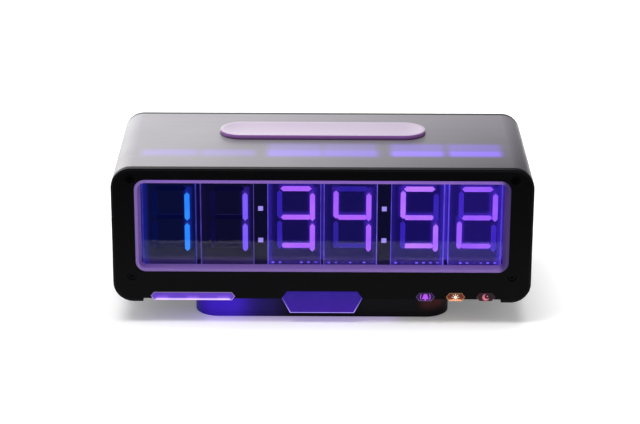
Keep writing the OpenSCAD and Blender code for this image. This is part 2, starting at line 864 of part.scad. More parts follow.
module light_baffle() {
    half = stack_half + baffle_t;
    ear_l = 8;
    color("#18181b") difference() {
        union() {
            flat(display_top_z, upper_z1) rect(-half, half, baffle_front, baffle_back);
            flat(display_top_z, display_top_z + ear_t)
                rect(-display_half, display_half, board_post_d[0] - ear_l / 2,
                     board_post_d[0] + ear_l / 2);
        }
        for (x = digit_x) {
            flat(display_top_z - eps, upper_z1 + eps)
                rect(x - plate_w / 2, x + plate_w / 2, cell_front, cell_back);
            flat(display_top_z - eps, display_top_z + light_slot_h)
                rect(x - plate_w / 2 + 2, x + plate_w / 2 - 2, baffle_front - eps, cell_front + eps);
        }
        for (s = [-1, 1]) flat(display_top_z - eps, upper_z1 + eps)
            translate([s * colon_x, 0])
                rect(-colon_gap / 2 + baffle_t, colon_gap / 2 - baffle_t, cell_front, cell_back);
        at_spots(board_post_x, [board_post_d[0]])
            tube(display_top_z - eps, display_top_z + ear_t + eps, clear_r);
    }
}

// ---------- circuit boards ----------

module display_board() {
    color(board_green) difference() {
        flat(display_z, display_top_z)
            rect(-display_half, display_half, display_front, display_back);
        at_spots(board_post_x, board_post_d) tube(display_z - eps, display_top_z + eps, clear_r);
    }
}

module display_leds() {
    led_h = 0.8;
    color("#f2efe2") flat(display_top_z, display_top_z + led_h) {
        for (x = digit_x, i = [0:6])
            translate([x + (i - 3) * tab_pitch, stack_front + i * plate_pitch + plate_t / 2])
                square([2, 1.25], center = true);
        for (s = [-1, 1])
            translate([s * colon_x, (pipe_front + pipe_back) / 2]) square([2, 1.25], center = true);
    }
}

module indicator_leds() {
    led_h = 1.1;
    spots = concat([for (i = [-1:1]) -label_x + i * tile_pitch],
                   [for (i = [-1:1]) i * badge_w / 3],
                   [for (i = [-1:1]) icon_x + i * tile_pitch]);
    color("#f2efe2") flat(display_z - led_h, display_z)
        for (x = spots) translate([x, display_front + 1.6]) square([3.5, 2.8], center = true);
}

module main_board() {
    color(board_green) difference() {
        flat(main_z, main_top_z) rect(-main_half, main_half, main_front, main_back);
        at_spots(main_post_x, main_post_d) tube(main_z - eps, main_top_z + eps, clear_r);
    }
}

module controller_module() {
    base_l = 25.5;
    base_w = 18;
    base_t = 0.8;
    can_l = 17;
    can_w = 16;
    can_h = 2.4;
    color(steel) translate([module_x, (main_front + main_back) / 2 + face_y, 0]) {
        translate([0, -base_w / 2, main_top_z]) cube([base_l, base_w, base_t]);
        translate([1.5, -can_w / 2, main_top_z + base_t]) cube([can_l, can_w, can_h]);
    }
}

module usb_socket() {
    color(steel) translate([-inlet_x, 0, 0]) {
        difference() {
            upright(usb_d0, usb_d1) translate([0, usb_z]) rounded(usb_w, usb_h, 1.2);
            upright(usb_d0 + 1.2, usb_d1 + eps)
                translate([0, usb_z]) rounded(usb_w - 0.6, usb_h - 0.6, 0.9);
        }
        upright(usb_d0 + 1, usb_d1 - 0.6) translate([0, usb_z]) square([6.7, 0.7], center = true);
    }
}

module buzzer() {
    color("#141416") translate([buzzer_x, face_y + (main_front + main_back) / 2 - 1.5, 0])
        difference() {
            tube(main_top_z, main_top_z + buzzer_h, buzzer_d / 2);
            tube(main_top_z + buzzer_h - 2, main_top_z + buzzer_h + eps, 1);
        }
}

coin_x = -43;
buzzer_x = 38;
module_x = -28;
coin_depth = (main_front + main_back) / 2 - 2;
holder_base_t = 1.2;

module coin_cell_holder() {
    outer_r = coin_d / 2 + 1.8;
    color("#222226") translate([coin_x, face_y + coin_depth, 0]) difference() {
        tube(main_top_z, main_top_z + holder_base_t + coin_t, outer_r);
        tube(main_top_z + holder_base_t, main_top_z + holder_base_t + coin_t + eps,
             coin_d / 2 + seat_gap);
        translate([coin_d / 4, -coin_d / 4, main_top_z + holder_base_t])
            cube([coin_d, coin_d / 2, coin_t + eps]);
    }
}

module coin_cell() {
    base_z = main_top_z + holder_base_t;
    color(steel) translate([coin_x, face_y + coin_depth, 0])
        tube(base_z, base_z + coin_t, coin_d / 2);
}

header_h = 5;
ribbon_x = 8;
ribbon_w = 8;
ribbon_t = 0.9;
display_header_d = display_back - 3.2;
main_header_d = main_front + 3.2;
lead_header_d = snooze_setback + 6;

module board_headers() {
    color("#e9e4d4") {
        flat(display_top_z, display_top_z + header_h)
            translate([ribbon_x, display_header_d]) square([ribbon_w + 4, 4.5], center = true);
        flat(main_top_z, main_top_z + header_h)
            translate([ribbon_x, main_header_d]) square([ribbon_w + 4, 4.5], center = true);
        flat(main_top_z, main_top_z + header_h)
            translate([lead_x, lead_header_d]) square([6, 4.5], center = true);
        translate([lead_x - 4.5, 0, 0]) flat(snooze_board_z1, snooze_board_z1 + 3)
            translate([0, snooze_setback]) square([3, 5], center = true);
    }
}

// Flat cable that leaves one header, turns over in a half circle and enters the other
module ribbon_cable() {
    r = (main_header_d - display_header_d) / 2;
    middle = (main_header_d + display_header_d) / 2;
    bend_z = main_top_z + header_h + 1.5;
    color("#8a8c92") translate([ribbon_x - ribbon_w / 2, face_y + middle, 0])
        rotate([90, 0, 90]) linear_extrude(ribbon_w) {
            difference() {
                translate([0, bend_z]) circle(r + ribbon_t / 2);
                translate([0, bend_z]) circle(r - ribbon_t / 2);
                rect(-2 * r, 2 * r, 0, bend_z);
            }
            rect(-r - ribbon_t / 2, -r + ribbon_t / 2, display_top_z + header_h, bend_z);
            rect(r - ribbon_t / 2, r + ribbon_t / 2, main_top_z + header_h, bend_z);
        }
}

// ---------- snooze bar ----------

// Plan of the bar drawn in by inset, as a solid between two heights
module bar_body(z0, z1, inset) {
    translate([0, face_y + snooze_setback, z0]) linear_extrude(z1 - z0)
        stadium(snooze_l - 2 * inset, snooze_w - 2 * inset);
}

module snooze_bar() {
    half = snooze_w / 2 - dish_rim_w;
    dish_r = (half * half + dish_t * dish_t) / (2 * dish_t);
    straight = snooze_l - snooze_w;
    color(lilac) {
        difference() {
            union() {
                bar_body(snooze_flange_z0, snooze_top_z, 0);
                bar_body(snooze_flange_z0, snooze_flange_z1, -snooze_flange_w);
            }
            bar_body(snooze_flange_z0 - eps, snooze_inner_z, snooze_wall_t);
            intersection() {
                bar_body(snooze_top_z - dish_t - eps, snooze_top_z + eps, dish_rim_w);
                translate([0, face_y + snooze_setback, snooze_top_z - dish_t + dish_r]) {
                    translate([-straight / 2, 0, 0]) rotate([0, 90, 0])
                        cylinder(r = dish_r, h = straight, $fn = 180);
                    for (s = [-1, 1]) translate([s * straight / 2, 0, 0])
                        sphere(dish_r, $fn = 180);
                }
            }
        }
        at_spots(guide_x, [snooze_setback]) tube(guide_z, snooze_inner_z + eps, guide_d / 2);
        translate([0, face_y + snooze_setback, 0])
            tube(snooze_switch_z1 + plunger_stand + rest_gap, snooze_inner_z + eps, 4);
    }
}

module snooze_carrier() {
    color(black) difference() {
        flat(carrier_z0, carrier_z1) translate([0, snooze_setback])
            rounded(carrier_l, carrier_w, 3);
        at_spots(guide_x, [snooze_setback])
            tube(carrier_z0 - eps, carrier_z1 + eps, guide_d / 2 + slide_gap);
        at_spots(carrier_screw_x, carrier_screw_d)
            tube(carrier_z0 - eps, carrier_z1 + eps, clear_r);
        translate([lead_x, face_y + snooze_setback, 0])
            tube(carrier_z0 - eps, carrier_z1 + eps, 1.6);
    }
}

module snooze_springs() {
    steps = 12;
    free_l = snooze_inner_z - carrier_z1 - spring_wire_d;
    turn = [for (i = [0:spring_turns * steps])
        [spring_r * cos(360 * i / steps), spring_r * sin(360 * i / steps),
         carrier_z1 + spring_wire_d / 2 + free_l * i / (spring_turns * steps)]];
    color(steel) at_spots(guide_x, [snooze_setback])
        wire(turn, spring_wire_d / 2, 6, [0, 0, 1]);
}

module snooze_board() {
    color(board_green) difference() {
        flat(carrier_z1, snooze_board_z1) translate([lead_x / 2 - 2, snooze_setback])
            square([24, 14], center = true);
        translate([lead_x, face_y + snooze_setback, 0])
            tube(carrier_z1 - eps, snooze_board_z1 + eps, 1.6);
    }
}

module snooze_switch() {
    color("#1b1b1d") difference() {
        flat(snooze_board_z1, snooze_switch_z1) translate([0, snooze_setback])
            square(switch_side, center = true);
        translate([0, face_y + snooze_setback, 0])
            tube(snooze_board_z1 + 0.4, snooze_switch_z1 + eps, plunger_r + slide_gap / 2);
    }
}

module snooze_plunger() {
    color("#8a4a3c") translate([0, face_y + snooze_setback, 0])
        tube(snooze_board_z1 + 0.4 + snooze_travel + rest_gap,
             snooze_switch_z1 + plunger_stand + rest_gap / 2, plunger_r);
}

// Two-core lead from the snooze board down to its header on the main board
module snooze_lead() {
    y0 = face_y + snooze_setback;
    y1 = face_y + lead_header_d;
    z0 = main_top_z + header_h + rest_gap;
    z1 = snooze_board_z1;
    bow = y1 - y0;
    route = [for (i = [0:12]) let (u = i / 12)
        [lead_x, y1 - bow * (3 * u * u - 2 * u * u * u), z0 + (z1 - z0) * u]];
    color("#3a3a40") wire(route, 0.9, 8, [1, 0, 0]);
}

// ---------- rear controls ----------

module rear_button(x) {
    color(lilac) translate([x, 0, button_z]) {
        along(button_flange_d0, case_d + button_proud, button_d / 2);
        along(button_flange_d0, button_flange_d1, button_flange_r);
    }
}

module switch_plunger(x) {
    color("#8a4a3c") translate([x, 0, button_z])
        along(switch_d0 + 0.5 + button_travel + rest_gap, button_flange_d0 - rest_gap / 2, plunger_r);
}

module button_switches() {
    color("#1b1b1d") difference() {
        for (x = button_xs) translate([x, 0, 0]) upright(switch_d0, switch_d1)
            rect(-switch_side / 2, switch_side / 2, main_top_z, main_top_z + switch_side);
        for (x = button_xs) translate([x, 0, button_z])
            along(switch_d0 + 0.5, switch_d1 + eps, plunger_r + slide_gap / 2);
    }
}

// ---------- fasteners ----------

module bezel_screws() {
    color("#0c0c0d") at_posts() translate([0, face_y + head_sink + screw_head_h, 0])
        rotate([90, 0, 0]) screw(bezel_screw_l);
}

module rear_screws() {
    color("#0c0c0d") at_posts()
        translate([0, face_y + case_d - rear_head_sink - screw_head_h, 0])
            rotate([-90, 0, 0]) screw(rear_screw_l);
}

module tray_screws() {
    color(steel) at_spots(tray_screw_x, tray_screw_d) translate([0, 0, feet_z + tray_head_sink])
        mirror([0, 0, 1]) screw(tray_screw_l);
}

module plinth_screws() {
    color(steel) at_spots(pad_x, pad_depths) translate([0, 0, floor_z - plinth_boss_top_t])
        mirror([0, 0, 1]) screw(plinth_screw_l);
}

module board_screws() {
    color(steel) {
        at_spots(board_post_x, [board_post_d[0]])
            translate([0, 0, display_top_z + ear_t]) screw(ear_t + board_screw_l);
        at_spots(board_post_x, [board_post_d[1]])
            translate([0, 0, display_top_z]) screw(board_screw_l);
        at_spots(main_post_x, main_post_d) translate([0, 0, main_top_z]) screw(main_screw_l);
    }
}

module carrier_screws() {
    color(steel) at_spots(carrier_screw_x, carrier_screw_d) translate([0, 0, carrier_z0])
        mirror([0, 0, 1]) screw(carrier_t + carrier_screw_grip);
}

front_bezel();
window_trim();
window_lens();
badge_plate();
label_plate();
icon_plate(icon_x - tile_pitch);  // alarm_icon_plate
icon_plate(icon_x);  // brightness_icon_plate
icon_plate(icon_x + tile_pitch);  // night_icon_plate
shell();
rear_panel();
bottom_tray();
base_plinth();
plinth_pads();
digit_plates(digit_x[0]);  // digit_1_plates
digit_plates(digit_x[1]);  // digit_2_plates
digit_plates(digit_x[2]);  // digit_3_plates
digit_plates(digit_x[3]);  // digit_4_plates
digit_plates(digit_x[4]);  // digit_5_plates
digit_plates(digit_x[5]);  // digit_6_plates
lower_plate_holder();
upper_plate_holder();
colon_masks();
colon_light_pipes();
light_baffle();
display_board();
display_leds();
indicator_leds();
main_board();
controller_module();
usb_socket();
buzzer();
coin_cell_holder();
coin_cell();
board_headers();
ribbon_cable();
snooze_bar();
snooze_carrier();
snooze_springs();
snooze_board();
snooze_switch();
snooze_plunger();
snooze_lead();
rear_button(button_xs[0]);  // mode_button
rear_button(button_xs[1]);  // plus_button
rear_button(button_xs[2]);  // minus_button
switch_plunger(button_xs[0]);  // mode_plunger
switch_plunger(button_xs[1]);  // plus_plunger
switch_plunger(button_xs[2]);  // minus_plunger
button_switches();
bezel_screws();
rear_screws();
tray_screws();
plinth_screws();
board_screws();
carrier_screws();
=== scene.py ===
import math

import bpy
from mathutils import Matrix, Vector


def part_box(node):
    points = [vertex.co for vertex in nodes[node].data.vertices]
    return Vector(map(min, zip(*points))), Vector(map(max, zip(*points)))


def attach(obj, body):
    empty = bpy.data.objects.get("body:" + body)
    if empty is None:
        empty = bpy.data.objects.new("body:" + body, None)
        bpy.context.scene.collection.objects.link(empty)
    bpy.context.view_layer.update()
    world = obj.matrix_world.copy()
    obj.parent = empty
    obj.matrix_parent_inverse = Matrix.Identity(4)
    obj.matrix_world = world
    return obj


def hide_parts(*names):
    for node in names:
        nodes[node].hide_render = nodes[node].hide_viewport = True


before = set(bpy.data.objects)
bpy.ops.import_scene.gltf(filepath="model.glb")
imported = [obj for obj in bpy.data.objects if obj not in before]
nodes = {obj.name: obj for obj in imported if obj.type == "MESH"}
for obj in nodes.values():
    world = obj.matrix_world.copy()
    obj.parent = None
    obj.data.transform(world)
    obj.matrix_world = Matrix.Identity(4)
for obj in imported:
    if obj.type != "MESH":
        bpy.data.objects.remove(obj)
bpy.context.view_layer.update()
MM = 0.001
TINY = 1e-6
FACE_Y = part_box("front_bezel")[0].y
TOP_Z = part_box("shell")[1].z
BADGE_HANG = 9.2 * MM
FLOOR_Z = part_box("badge_plate")[0].z + BADGE_HANG


# ---------- camera ----------

AIM = Vector((-1.4 * MM, FACE_Y, 68.3 * MM))
CAMERA_RISE = math.radians(20)
CAMERA_REACH = 1251 * MM
CAMERA_ROLL = math.radians(0.25)
CAMERA_LENS = 123.9


def photo_camera():
    """The camera at the height, distance and slight roll from which the clock is seen."""
    away = Vector((0, -math.cos(CAMERA_RISE), math.sin(CAMERA_RISE)))
    data = bpy.data.cameras.new("camera")
    data.lens = CAMERA_LENS
    data.sensor_width = 36
    camera = bpy.data.objects.new("camera", data)
    bpy.context.scene.collection.objects.link(camera)
    turn = (-away).to_track_quat("-Z", "Y").to_matrix().to_4x4()
    camera.matrix_world = (Matrix.Translation(AIM + away * CAMERA_REACH) @ turn
                           @ Matrix.Rotation(CAMERA_ROLL, 4, "Z"))
    bpy.context.scene.camera = camera


# ---------- modelling ----------

def only(obj):
    """Selects one object and nothing else."""
    bpy.ops.object.select_all(action="DESELECT")
    obj.select_set(True)
    bpy.context.view_layer.objects.active = obj


def settle(obj):
    """Puts an object's place into its mesh."""
    only(obj)
    bpy.ops.object.transform_apply(location=True, rotation=True, scale=True)


def block(name, low, high):
    """A cuboid between two corners: the start of a piece."""
    bpy.ops.object.select_all(action="DESELECT")
    bpy.ops.mesh.primitive_cube_add(size=1, location=(Vector(low) + Vector(high)) / 2)
    obj = bpy.context.object
    obj.scale = Vector(high) - Vector(low)
    obj.name = obj.data.name = name
    settle(obj)
    return obj


def disc(name, centre, radius, depth, sides):
    """A flat round blank that faces the front."""
    bpy.ops.object.select_all(action="DESELECT")
    bpy.ops.mesh.primitive_cylinder_add(vertices=sides, radius=radius, depth=depth,
                                        location=centre, rotation=(math.pi / 2, 0, 0))
    obj = bpy.context.object
    obj.name = obj.data.name = name
    settle(obj)
    return obj


def pick(obj, kind, test):
    """Selects faces by centre and normal, or edges by their two ends, in edit mode."""
    only(obj)
    bpy.ops.object.mode_set(mode="EDIT")
    bpy.ops.mesh.select_mode(type=kind)
    bpy.ops.mesh.select_all(action="DESELECT")
    bpy.ops.object.mode_set(mode="OBJECT")
    mesh = obj.data
    if kind == "FACE":
        for face in mesh.polygons:
            face.select = test(face.center, face.normal)
    else:
        for edge in mesh.edges:
            edge.select = test(*(mesh.vertices[i].co for i in edge.vertices))
    bpy.ops.object.mode_set(mode="EDIT")


def leave_edit():
    bpy.ops.object.mode_set(mode="OBJECT")


def slice_at(obj, point, normal, clear=False):
    """Cuts the mesh along a plane, and with clear takes away what lies beyond it."""
    only(obj)
    bpy.ops.object.mode_set(mode="EDIT")
    bpy.ops.mesh.select_all(action="SELECT")
    bpy.ops.mesh.bisect(plane_co=point, plane_no=normal, use_fill=clear, clear_outer=clear)
    leave_edit()


def cut_away(obj, tool):
    """Cuts the tool's shape out of the object and removes the tool."""
    only(obj)
    cut = obj.modifiers.new("cut", "BOOLEAN")
    cut.operation = "DIFFERENCE"
    cut.solver = "EXACT"
    cut.object = tool
    bpy.ops.object.modifier_apply(modifier=cut.name)
    bpy.data.objects.remove(tool)


def weld(name, parts):
    """Joins several shapes into one object."""
    bpy.ops.object.select_all(action="DESELECT")
    for part in parts:
        part.select_set(True)
    bpy.context.view_layer.objects.active = parts[0]
    if len(parts) > 1:
        bpy.ops.object.join()
    parts[0].name = parts[0].data.name = name
    return parts[0]


def dress(obj, *materials):
    obj.data.materials.clear()
    for material in materials:
        obj.data.materials.append(material)


# ---------- shader building ----------

def seen(red, green, blue):
    """A colour as it is seen on a screen, 0 to 255, as linear light."""
    steps = [v / 255 for v in (red, green, blue)]
    return [v / 12.92 if v <= 0.04045 else ((v + 0.055) / 1.055) ** 2.4 for v in steps]


def scaled(colour, factor):
    return [v * factor for v in colour]


def put(tree, kind, inputs=None, **settings):
    """Adds a node, sets it up and links or fills its inputs."""
    node = tree.nodes.new("ShaderNode" + kind)
    for key, value in settings.items():
        setattr(node, key, value)
    for key, value in (inputs or {}).items():
        if isinstance(value, bpy.types.NodeSocket):
            tree.links.new(value, node.inputs[key])
        elif isinstance(value, (list, tuple, Vector)):
            size = len(node.inputs[key].default_value)
            node.inputs[key].default_value = (list(value) + [1.0])[:size]
        else:
            node.inputs[key].default_value = value
    return node


def maths(tree, operation, first, second=0.0):
    node = put(tree, "Math", {0: first, 1: second}, operation=operation)
    return node.outputs[0]


def vectors(tree, operation, first, second=(0, 0, 0), **extra):
    node = put(tree, "VectorMath", {0: first, 1: second, **extra}, operation=operation)
    return node.outputs["Value" if operation == "LENGTH" else "Vector"]


def spread(tree, value, low, high):
    """A value from 0 to 1 mapped onto another range."""
    return put(tree, "MapRange", {"Value": value, "To Min": low, "To Max": high}).outputs[0]


def effect(name, inputs, outputs):
    """A node group with named sockets, each given as (name, kind, start value)."""
    tree = bpy.data.node_groups.new(name, "ShaderNodeTree")
    for label, kind, start in inputs:
        socket = tree.interface.new_socket(label, in_out="INPUT", socket_type="NodeSocket" + kind)
        if start is not None:
            socket.default_value = start
    for label, kind in outputs:
        tree.interface.new_socket(label, in_out="OUTPUT", socket_type="NodeSocket" + kind)
    return tree, tree.nodes.new("NodeGroupInput").outputs, tree.nodes.new("NodeGroupOutput").inputs


def use(tree, group, **inputs):
    node = tree.nodes.new("ShaderNodeGroup")
    node.node_tree = group
    for key, value in inputs.items():
        socket = node.inputs[key.replace("_", " ")]
        if isinstance(value, bpy.types.NodeSocket):
            tree.links.new(value, socket)
        elif isinstance(value, (list, tuple, Vector)):
            socket.default_value = (list(value) + [1.0])[:len(socket.default_value)]
        else:
            socket.default_value = value
    return node.outputs


def moulded_grain():
    """Fine grain of a moulded or printed plastic: colour, gloss and height."""
    tree, ins, outs = effect(
        "moulded grain",
        [("Place", "Vector", None), ("Colour", "Color", None), ("Size", "Float", 900.0),
         ("Mottle", "Float", 0.12), ("Roughness", "Float", 0.5), ("Gloss spread", "Float", 0.1)],
        [("Colour", "Color"), ("Roughness", "Float"), ("Height", "Float")])
    fine = put(tree, "TexNoise", {"Vector": ins["Place"], "Scale": ins["Size"], "Detail": 3.0})
    broad = put(tree, "TexNoise", {"Vector": ins["Place"], "Scale": 35.0, "Detail": 2.0})
    tone = maths(tree, "MULTIPLY_ADD", broad.outputs[0], ins["Mottle"])
    tone.node.inputs[2].default_value = 1.0
    lift = maths(tree, "SUBTRACT", tone, maths(tree, "MULTIPLY", ins["Mottle"], 0.5))
    tree.links.new(vectors(tree, "SCALE", ins["Colour"], Scale=lift), outs["Colour"])
    gloss = maths(tree, "MULTIPLY", maths(tree, "SUBTRACT", broad.outputs[0], 0.5),
                  ins["Gloss spread"])
    tree.links.new(maths(tree, "ADD", ins["Roughness"], gloss), outs["Roughness"])
    tree.links.new(fine.outputs[0], outs["Height"])
    return tree


def light_spill():
    """Light that falls off softly round a box: near its centre it is full."""
    tree, ins, outs = effect(
        "light spill",
        [("Place", "Vector", None), ("Centre", "Vector", None), ("Reach", "Vector", None),
         ("Softness", "Float", 0.002), ("Colour", "Color", None), ("Under", "Vector", None)],
        [("Colour", "Color")])
    off = vectors(tree, "ABSOLUTE", vectors(tree, "SUBTRACT", ins["Place"], ins["Centre"]))
    past = vectors(tree, "MAXIMUM", vectors(tree, "SUBTRACT", off, ins["Reach"]))
    steps = maths(tree, "DIVIDE", vectors(tree, "LENGTH", past), ins["Softness"])
    fade = maths(tree, "EXPONENT", maths(tree, "MULTIPLY", maths(tree, "MULTIPLY", steps, steps),
                                         -1.0))
    light = vectors(tree, "SCALE", ins["Colour"], Scale=fade)
    tree.links.new(vectors(tree, "ADD", light, ins["Under"]), outs["Colour"])
    return tree


GRAIN = moulded_grain()
SPILL = light_spill()


def new_material(name):
    material = bpy.data.materials.new(name)
    material.use_nodes = True
    tree = material.node_tree
    place = put(tree, "TexCoord").outputs["Object"]
    return material, tree, tree.nodes["Principled BSDF"], place


def set_plain(shader, **values):
    """Fixed values on the shader's own sockets."""
    for key, value in values.items():
        socket = shader.inputs[key.replace("_", " ")]
        socket.default_value = (value + [1.0]) if isinstance(value, list) else value


def grained(name, colour, roughness, size=900.0, bump=0.05, mottle=0.12, gloss_spread=0.1,
            depth=0.05, **plain):
    """A plastic, rubber or lacquer with moulded grain. colour may be a socket maker."""
    material, tree, shader, place = new_material(name)
    shade = colour(tree, place) if callable(colour) else colour
    grain = use(tree, GRAIN, Place=place, Colour=shade, Size=size, Mottle=mottle,
                Roughness=roughness, Gloss_spread=gloss_spread)
    tree.links.new(grain["Colour"], shader.inputs["Base Color"])
    tree.links.new(grain["Roughness"], shader.inputs["Roughness"])
    height = put(tree, "Bump", {"Height": grain["Height"], "Strength": bump,
                                "Distance": depth * MM})
    tree.links.new(height.outputs[0], shader.inputs["Normal"])
    set_plain(shader, **plain)
    return material, tree, shader, place


def add_spills(tree, shader, place, spills):
    """Adds patches of light to a material's emission, one after another."""
    under = (0, 0, 0)
    for centre, reach, softness, colour in spills:
        under = use(tree, SPILL, Place=place, Centre=centre, Reach=reach, Softness=softness,
                    Colour=colour, Under=under)["Colour"]
    tree.links.new(under, shader.inputs["Emission Color"])
    shader.inputs["Emission Strength"].default_value = 1.0


# ---------- what the digits show ----------

PLATE_ORDER = "cbefagd"
SHOWN = ["bc", "bc", "abcdg", "bcfg", "acdfg", "abdeg"]
PLATE_T = 1.5 * MM
PLATE_PITCH = 1.7 * MM
ENGRAVE_T = 0.4 * MM
TAB_W = 3.4 * MM
TAB_H = 3.2 * MM
TAB_PITCH = 4.1 * MM
BAR_W = 2.9 * MM
BAR_SPAN = 18.8 * MM
BAR_RISE = 18.0 * MM
BAR_GAP = 1.0 * MM
# how far each bar stands to the right of and above the plain plates' bars, as it is seen
BAR_SHIFT = 1.0 * MM
BAR_LIFT = {"a": 0.35, "b": -0.4, "c": -0.7, "d": 0.4, "e": 0.3, "f": 0.4, "g": 0.4}
LAST_SLIPS = {"b": 0.6 * MM, "e": -0.8 * MM}
DIGIT_DROP = 30.0 * MM
EDGE_CUT = 0.25 * MM
DOT_UP = 5.4
DOT_DROP_FRONT = 0.43
DOT_DROP_BACK = 0.62
FRONT_SLOT, REAR_SLOT, BAR_SLOT, EDGE_SLOT = range(4)
BAR_PLACES = {
    "c": (1, -1), "b": (1, 1), "e": (-1, -1), "f": (-1, 1), "a": (0, 2), "g": (0, 0), "d": (0, -2),
}
LIT = [seen(42, 134, 252), seen(124, 92, 246), seen(170, 98, 250), seen(168, 96, 250),
       seen(178, 112, 254), seen(152, 90, 252)]
UNLIT = [seen(13, 24, 95), seen(24, 20, 84), seen(52, 34, 168), seen(44, 30, 146),
         seen(54, 36, 172), seen(62, 38, 186)]
HAZE = [seen(9, 13, 48), seen(12, 11, 40), seen(20, 14, 74), seen(20, 15, 78), seen(22, 14, 86),
        seen(28, 18, 98)]
HALO = [scaled(colour, 0.5) for colour in
        [seen(16, 34, 150), seen(54, 28, 150)] + [seen(60, 30, 160)] * 4]
STRIP = [seen(15, 20, 100), seen(50, 30, 150)] + [seen(60, 35, 190)] * 4
STRIP_LEFT = (1.0, 0.05, 0.35, 0.1, 0.18, 0.1)
STRIP_RIGHT = (0.05, 0.05, 0.12, 0.15, 0.4, 0.5)
CELL_LIGHT = (0.10, 0.035, 0.52)
CELL_SHARE = (0.4, 0.4, 0.8, 0.8, 1.2, 1.2)
EDGE = [seen(48, 50, 150), seen(74, 62, 150), seen(96, 82, 206), seen(110, 94, 214),
        seen(92, 74, 206), seen(84, 62, 200)]
TAB_GLOW = seen(120, 100, 250)
SURFACE_PASS = 0.96
REAR_ALPHA = 0.02
FIRST_REAR = 4
digit_boxes = [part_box("digit_%d_plates" % n) for n in range(1, 7)]
STACK_FRONT = digit_boxes[0][0].y


def digit_middle(digit):
    low, high = digit_boxes[digit]
    return Vector(((low.x + high.x) / 2, 0, high.z - DIGIT_DROP))


def bar_size(letter):
    """Half length and half width of a bar, as across and up."""
    flat = letter in "agd"
    half = ((BAR_SPAN if flat else BAR_RISE) - BAR_GAP) / 2
    return (half, BAR_W / 2) if flat else (BAR_W / 2, half)


def bar_middle(letter):
    across, up = BAR_PLACES[letter]
    return across * BAR_SPAN / 2 + BAR_SHIFT, up * BAR_RISE / 2 + BAR_LIFT[letter] * MM


def loss_before(place):
    """Share of the light that the lens and the plates in front let through."""
    clear = SURFACE_PASS ** (3 + 2 * min(place, FIRST_REAR))
    return clear * (1 - REAR_ALPHA) ** max(0, 2 * (place - FIRST_REAR) + 1)


# ---------- materials of the clear pieces ----------

def clear_acrylic(name, ior, tint, spotted=0.0, **plain):
    """Clear cast acrylic with a slight cast and a trace of uneven gloss."""
    material, tree, shader, place = new_material(name)
    haze = put(tree, "TexNoise", {"Vector": place, "Scale": 60.0, "Detail": 2.0}).outputs[0]
    tree.links.new(put(tree, "MixRGB", {"Fac": haze, "Color1": tint, "Color2": (1, 1, 1)})
                   .outputs[0], shader.inputs["Base Color"])
    set_plain(shader, IOR=ior, Transmission_Weight=1.0, Roughness=0.0, **plain)
    if spotted:
        tree.links.new(spread(tree, haze, 0.0, spotted), shader.inputs["Roughness"])
    return material, tree, shader, place


def tab_light(tree, shader, place, gain):
    """Light from the lamp under a plate's tab, fading up the plate from its foot."""
    centre = put(tree, "Attribute", attribute_name="tab_place").outputs["Vector"]
    colour = put(tree, "Attribute", attribute_name="glow").outputs["Color"]
    bright = vectors(tree, "SCALE", colour, Scale=gain)
    light = use(tree, SPILL, Place=place, Centre=centre, Reach=(0.5 * MM, 1, 0.1 * MM),
                Softness=0.28 * MM, Colour=bright)["Colour"]
    tree.links.new(light, shader.inputs["Emission Color"])
    shader.inputs["Emission Strength"].default_value = 1.0


def plate_front_material():
    material, tree, shader, place = clear_acrylic("clear acrylic", 1.49, (0.985, 0.98, 1.0))
    tab_light(tree, shader, place, 1.0)
    return material


def plate_rear_material():
    """The rear plates, thin enough to look through with little gloss."""
    material, tree, shader, place = new_material("clear acrylic behind")
    mottle = put(tree, "TexNoise", {"Vector": place, "Scale": 80.0}).outputs[0]
    tree.links.new(put(tree, "MixRGB", {"Fac": mottle, "Color1": (0.02, 0.02, 0.05),
                                        "Color2": (0.03, 0.03, 0.07)}).outputs[0],
                   shader.inputs["Base Color"])
    set_plain(shader, Roughness=0.1, Alpha=REAR_ALPHA)
    tab_light(tree, shader, place, 1.0 / REAR_ALPHA)
    return material


def engraving_material():
    """Frosted engraving that glows in its plate's colour, a little unevenly."""
    material, tree, shader, place = new_material("glowing engraving")
    colour = put(tree, "Attribute", attribute_name="glow").outputs["Color"]
    patch = put(tree, "TexNoise", {"Vector": place, "Scale": 70.0, "Detail": 2.0}).outputs[0]
    warm = vectors(tree, "MULTIPLY", colour, (1.16, 1.22, 1.03))
    cool = vectors(tree, "MULTIPLY", colour, (0.86, 0.78, 0.98))
    mixed = put(tree, "MixRGB", {"Fac": spread(tree, patch, -0.6, 1.6), "Color1": cool,
                                 "Color2": warm}).outputs[0]
    frost = put(tree, "TexNoise", {"Vector": place, "Scale": 2500.0}).outputs[0]
    tree.links.new(put(tree, "MixRGB", {"Fac": frost, "Color1": (0.10, 0.09, 0.16),
                                        "Color2": (0.16, 0.15, 0.22)}).outputs[0],
                   shader.inputs["Base Color"])
    tree.links.new(mixed, shader.inputs["Emission Color"])
    set_plain(shader, Roughness=0.7, Emission_Strength=1.0)
    return material


def cut_edge_material():
    """The sawn edge of a plate, where trapped light comes out."""
    material, tree, shader, place = new_material("lit cut edge")
    colour = put(tree, "Attribute", attribute_name="glow").outputs["Color"]
    saw = put(tree, "TexNoise", {"Vector": vectors(tree, "MULTIPLY", place, (1, 1, 6)),
                                 "Scale": 40.0}).outputs[0]
    light = vectors(tree, "SCALE", colour, Scale=spread(tree, saw, 0.35, 1.65))
    tree.links.new(light, shader.inputs["Emission Color"])
    tree.links.new(put(tree, "MixRGB", {"Fac": saw, "Color1": (0.03, 0.02, 0.08),
                                        "Color2": (0.06, 0.05, 0.14)}).outputs[0],
                   shader.inputs["Base Color"])
    set_plain(shader, Roughness=0.45, Emission_Strength=1.0)
    return material


# ---------- digit plates ----------

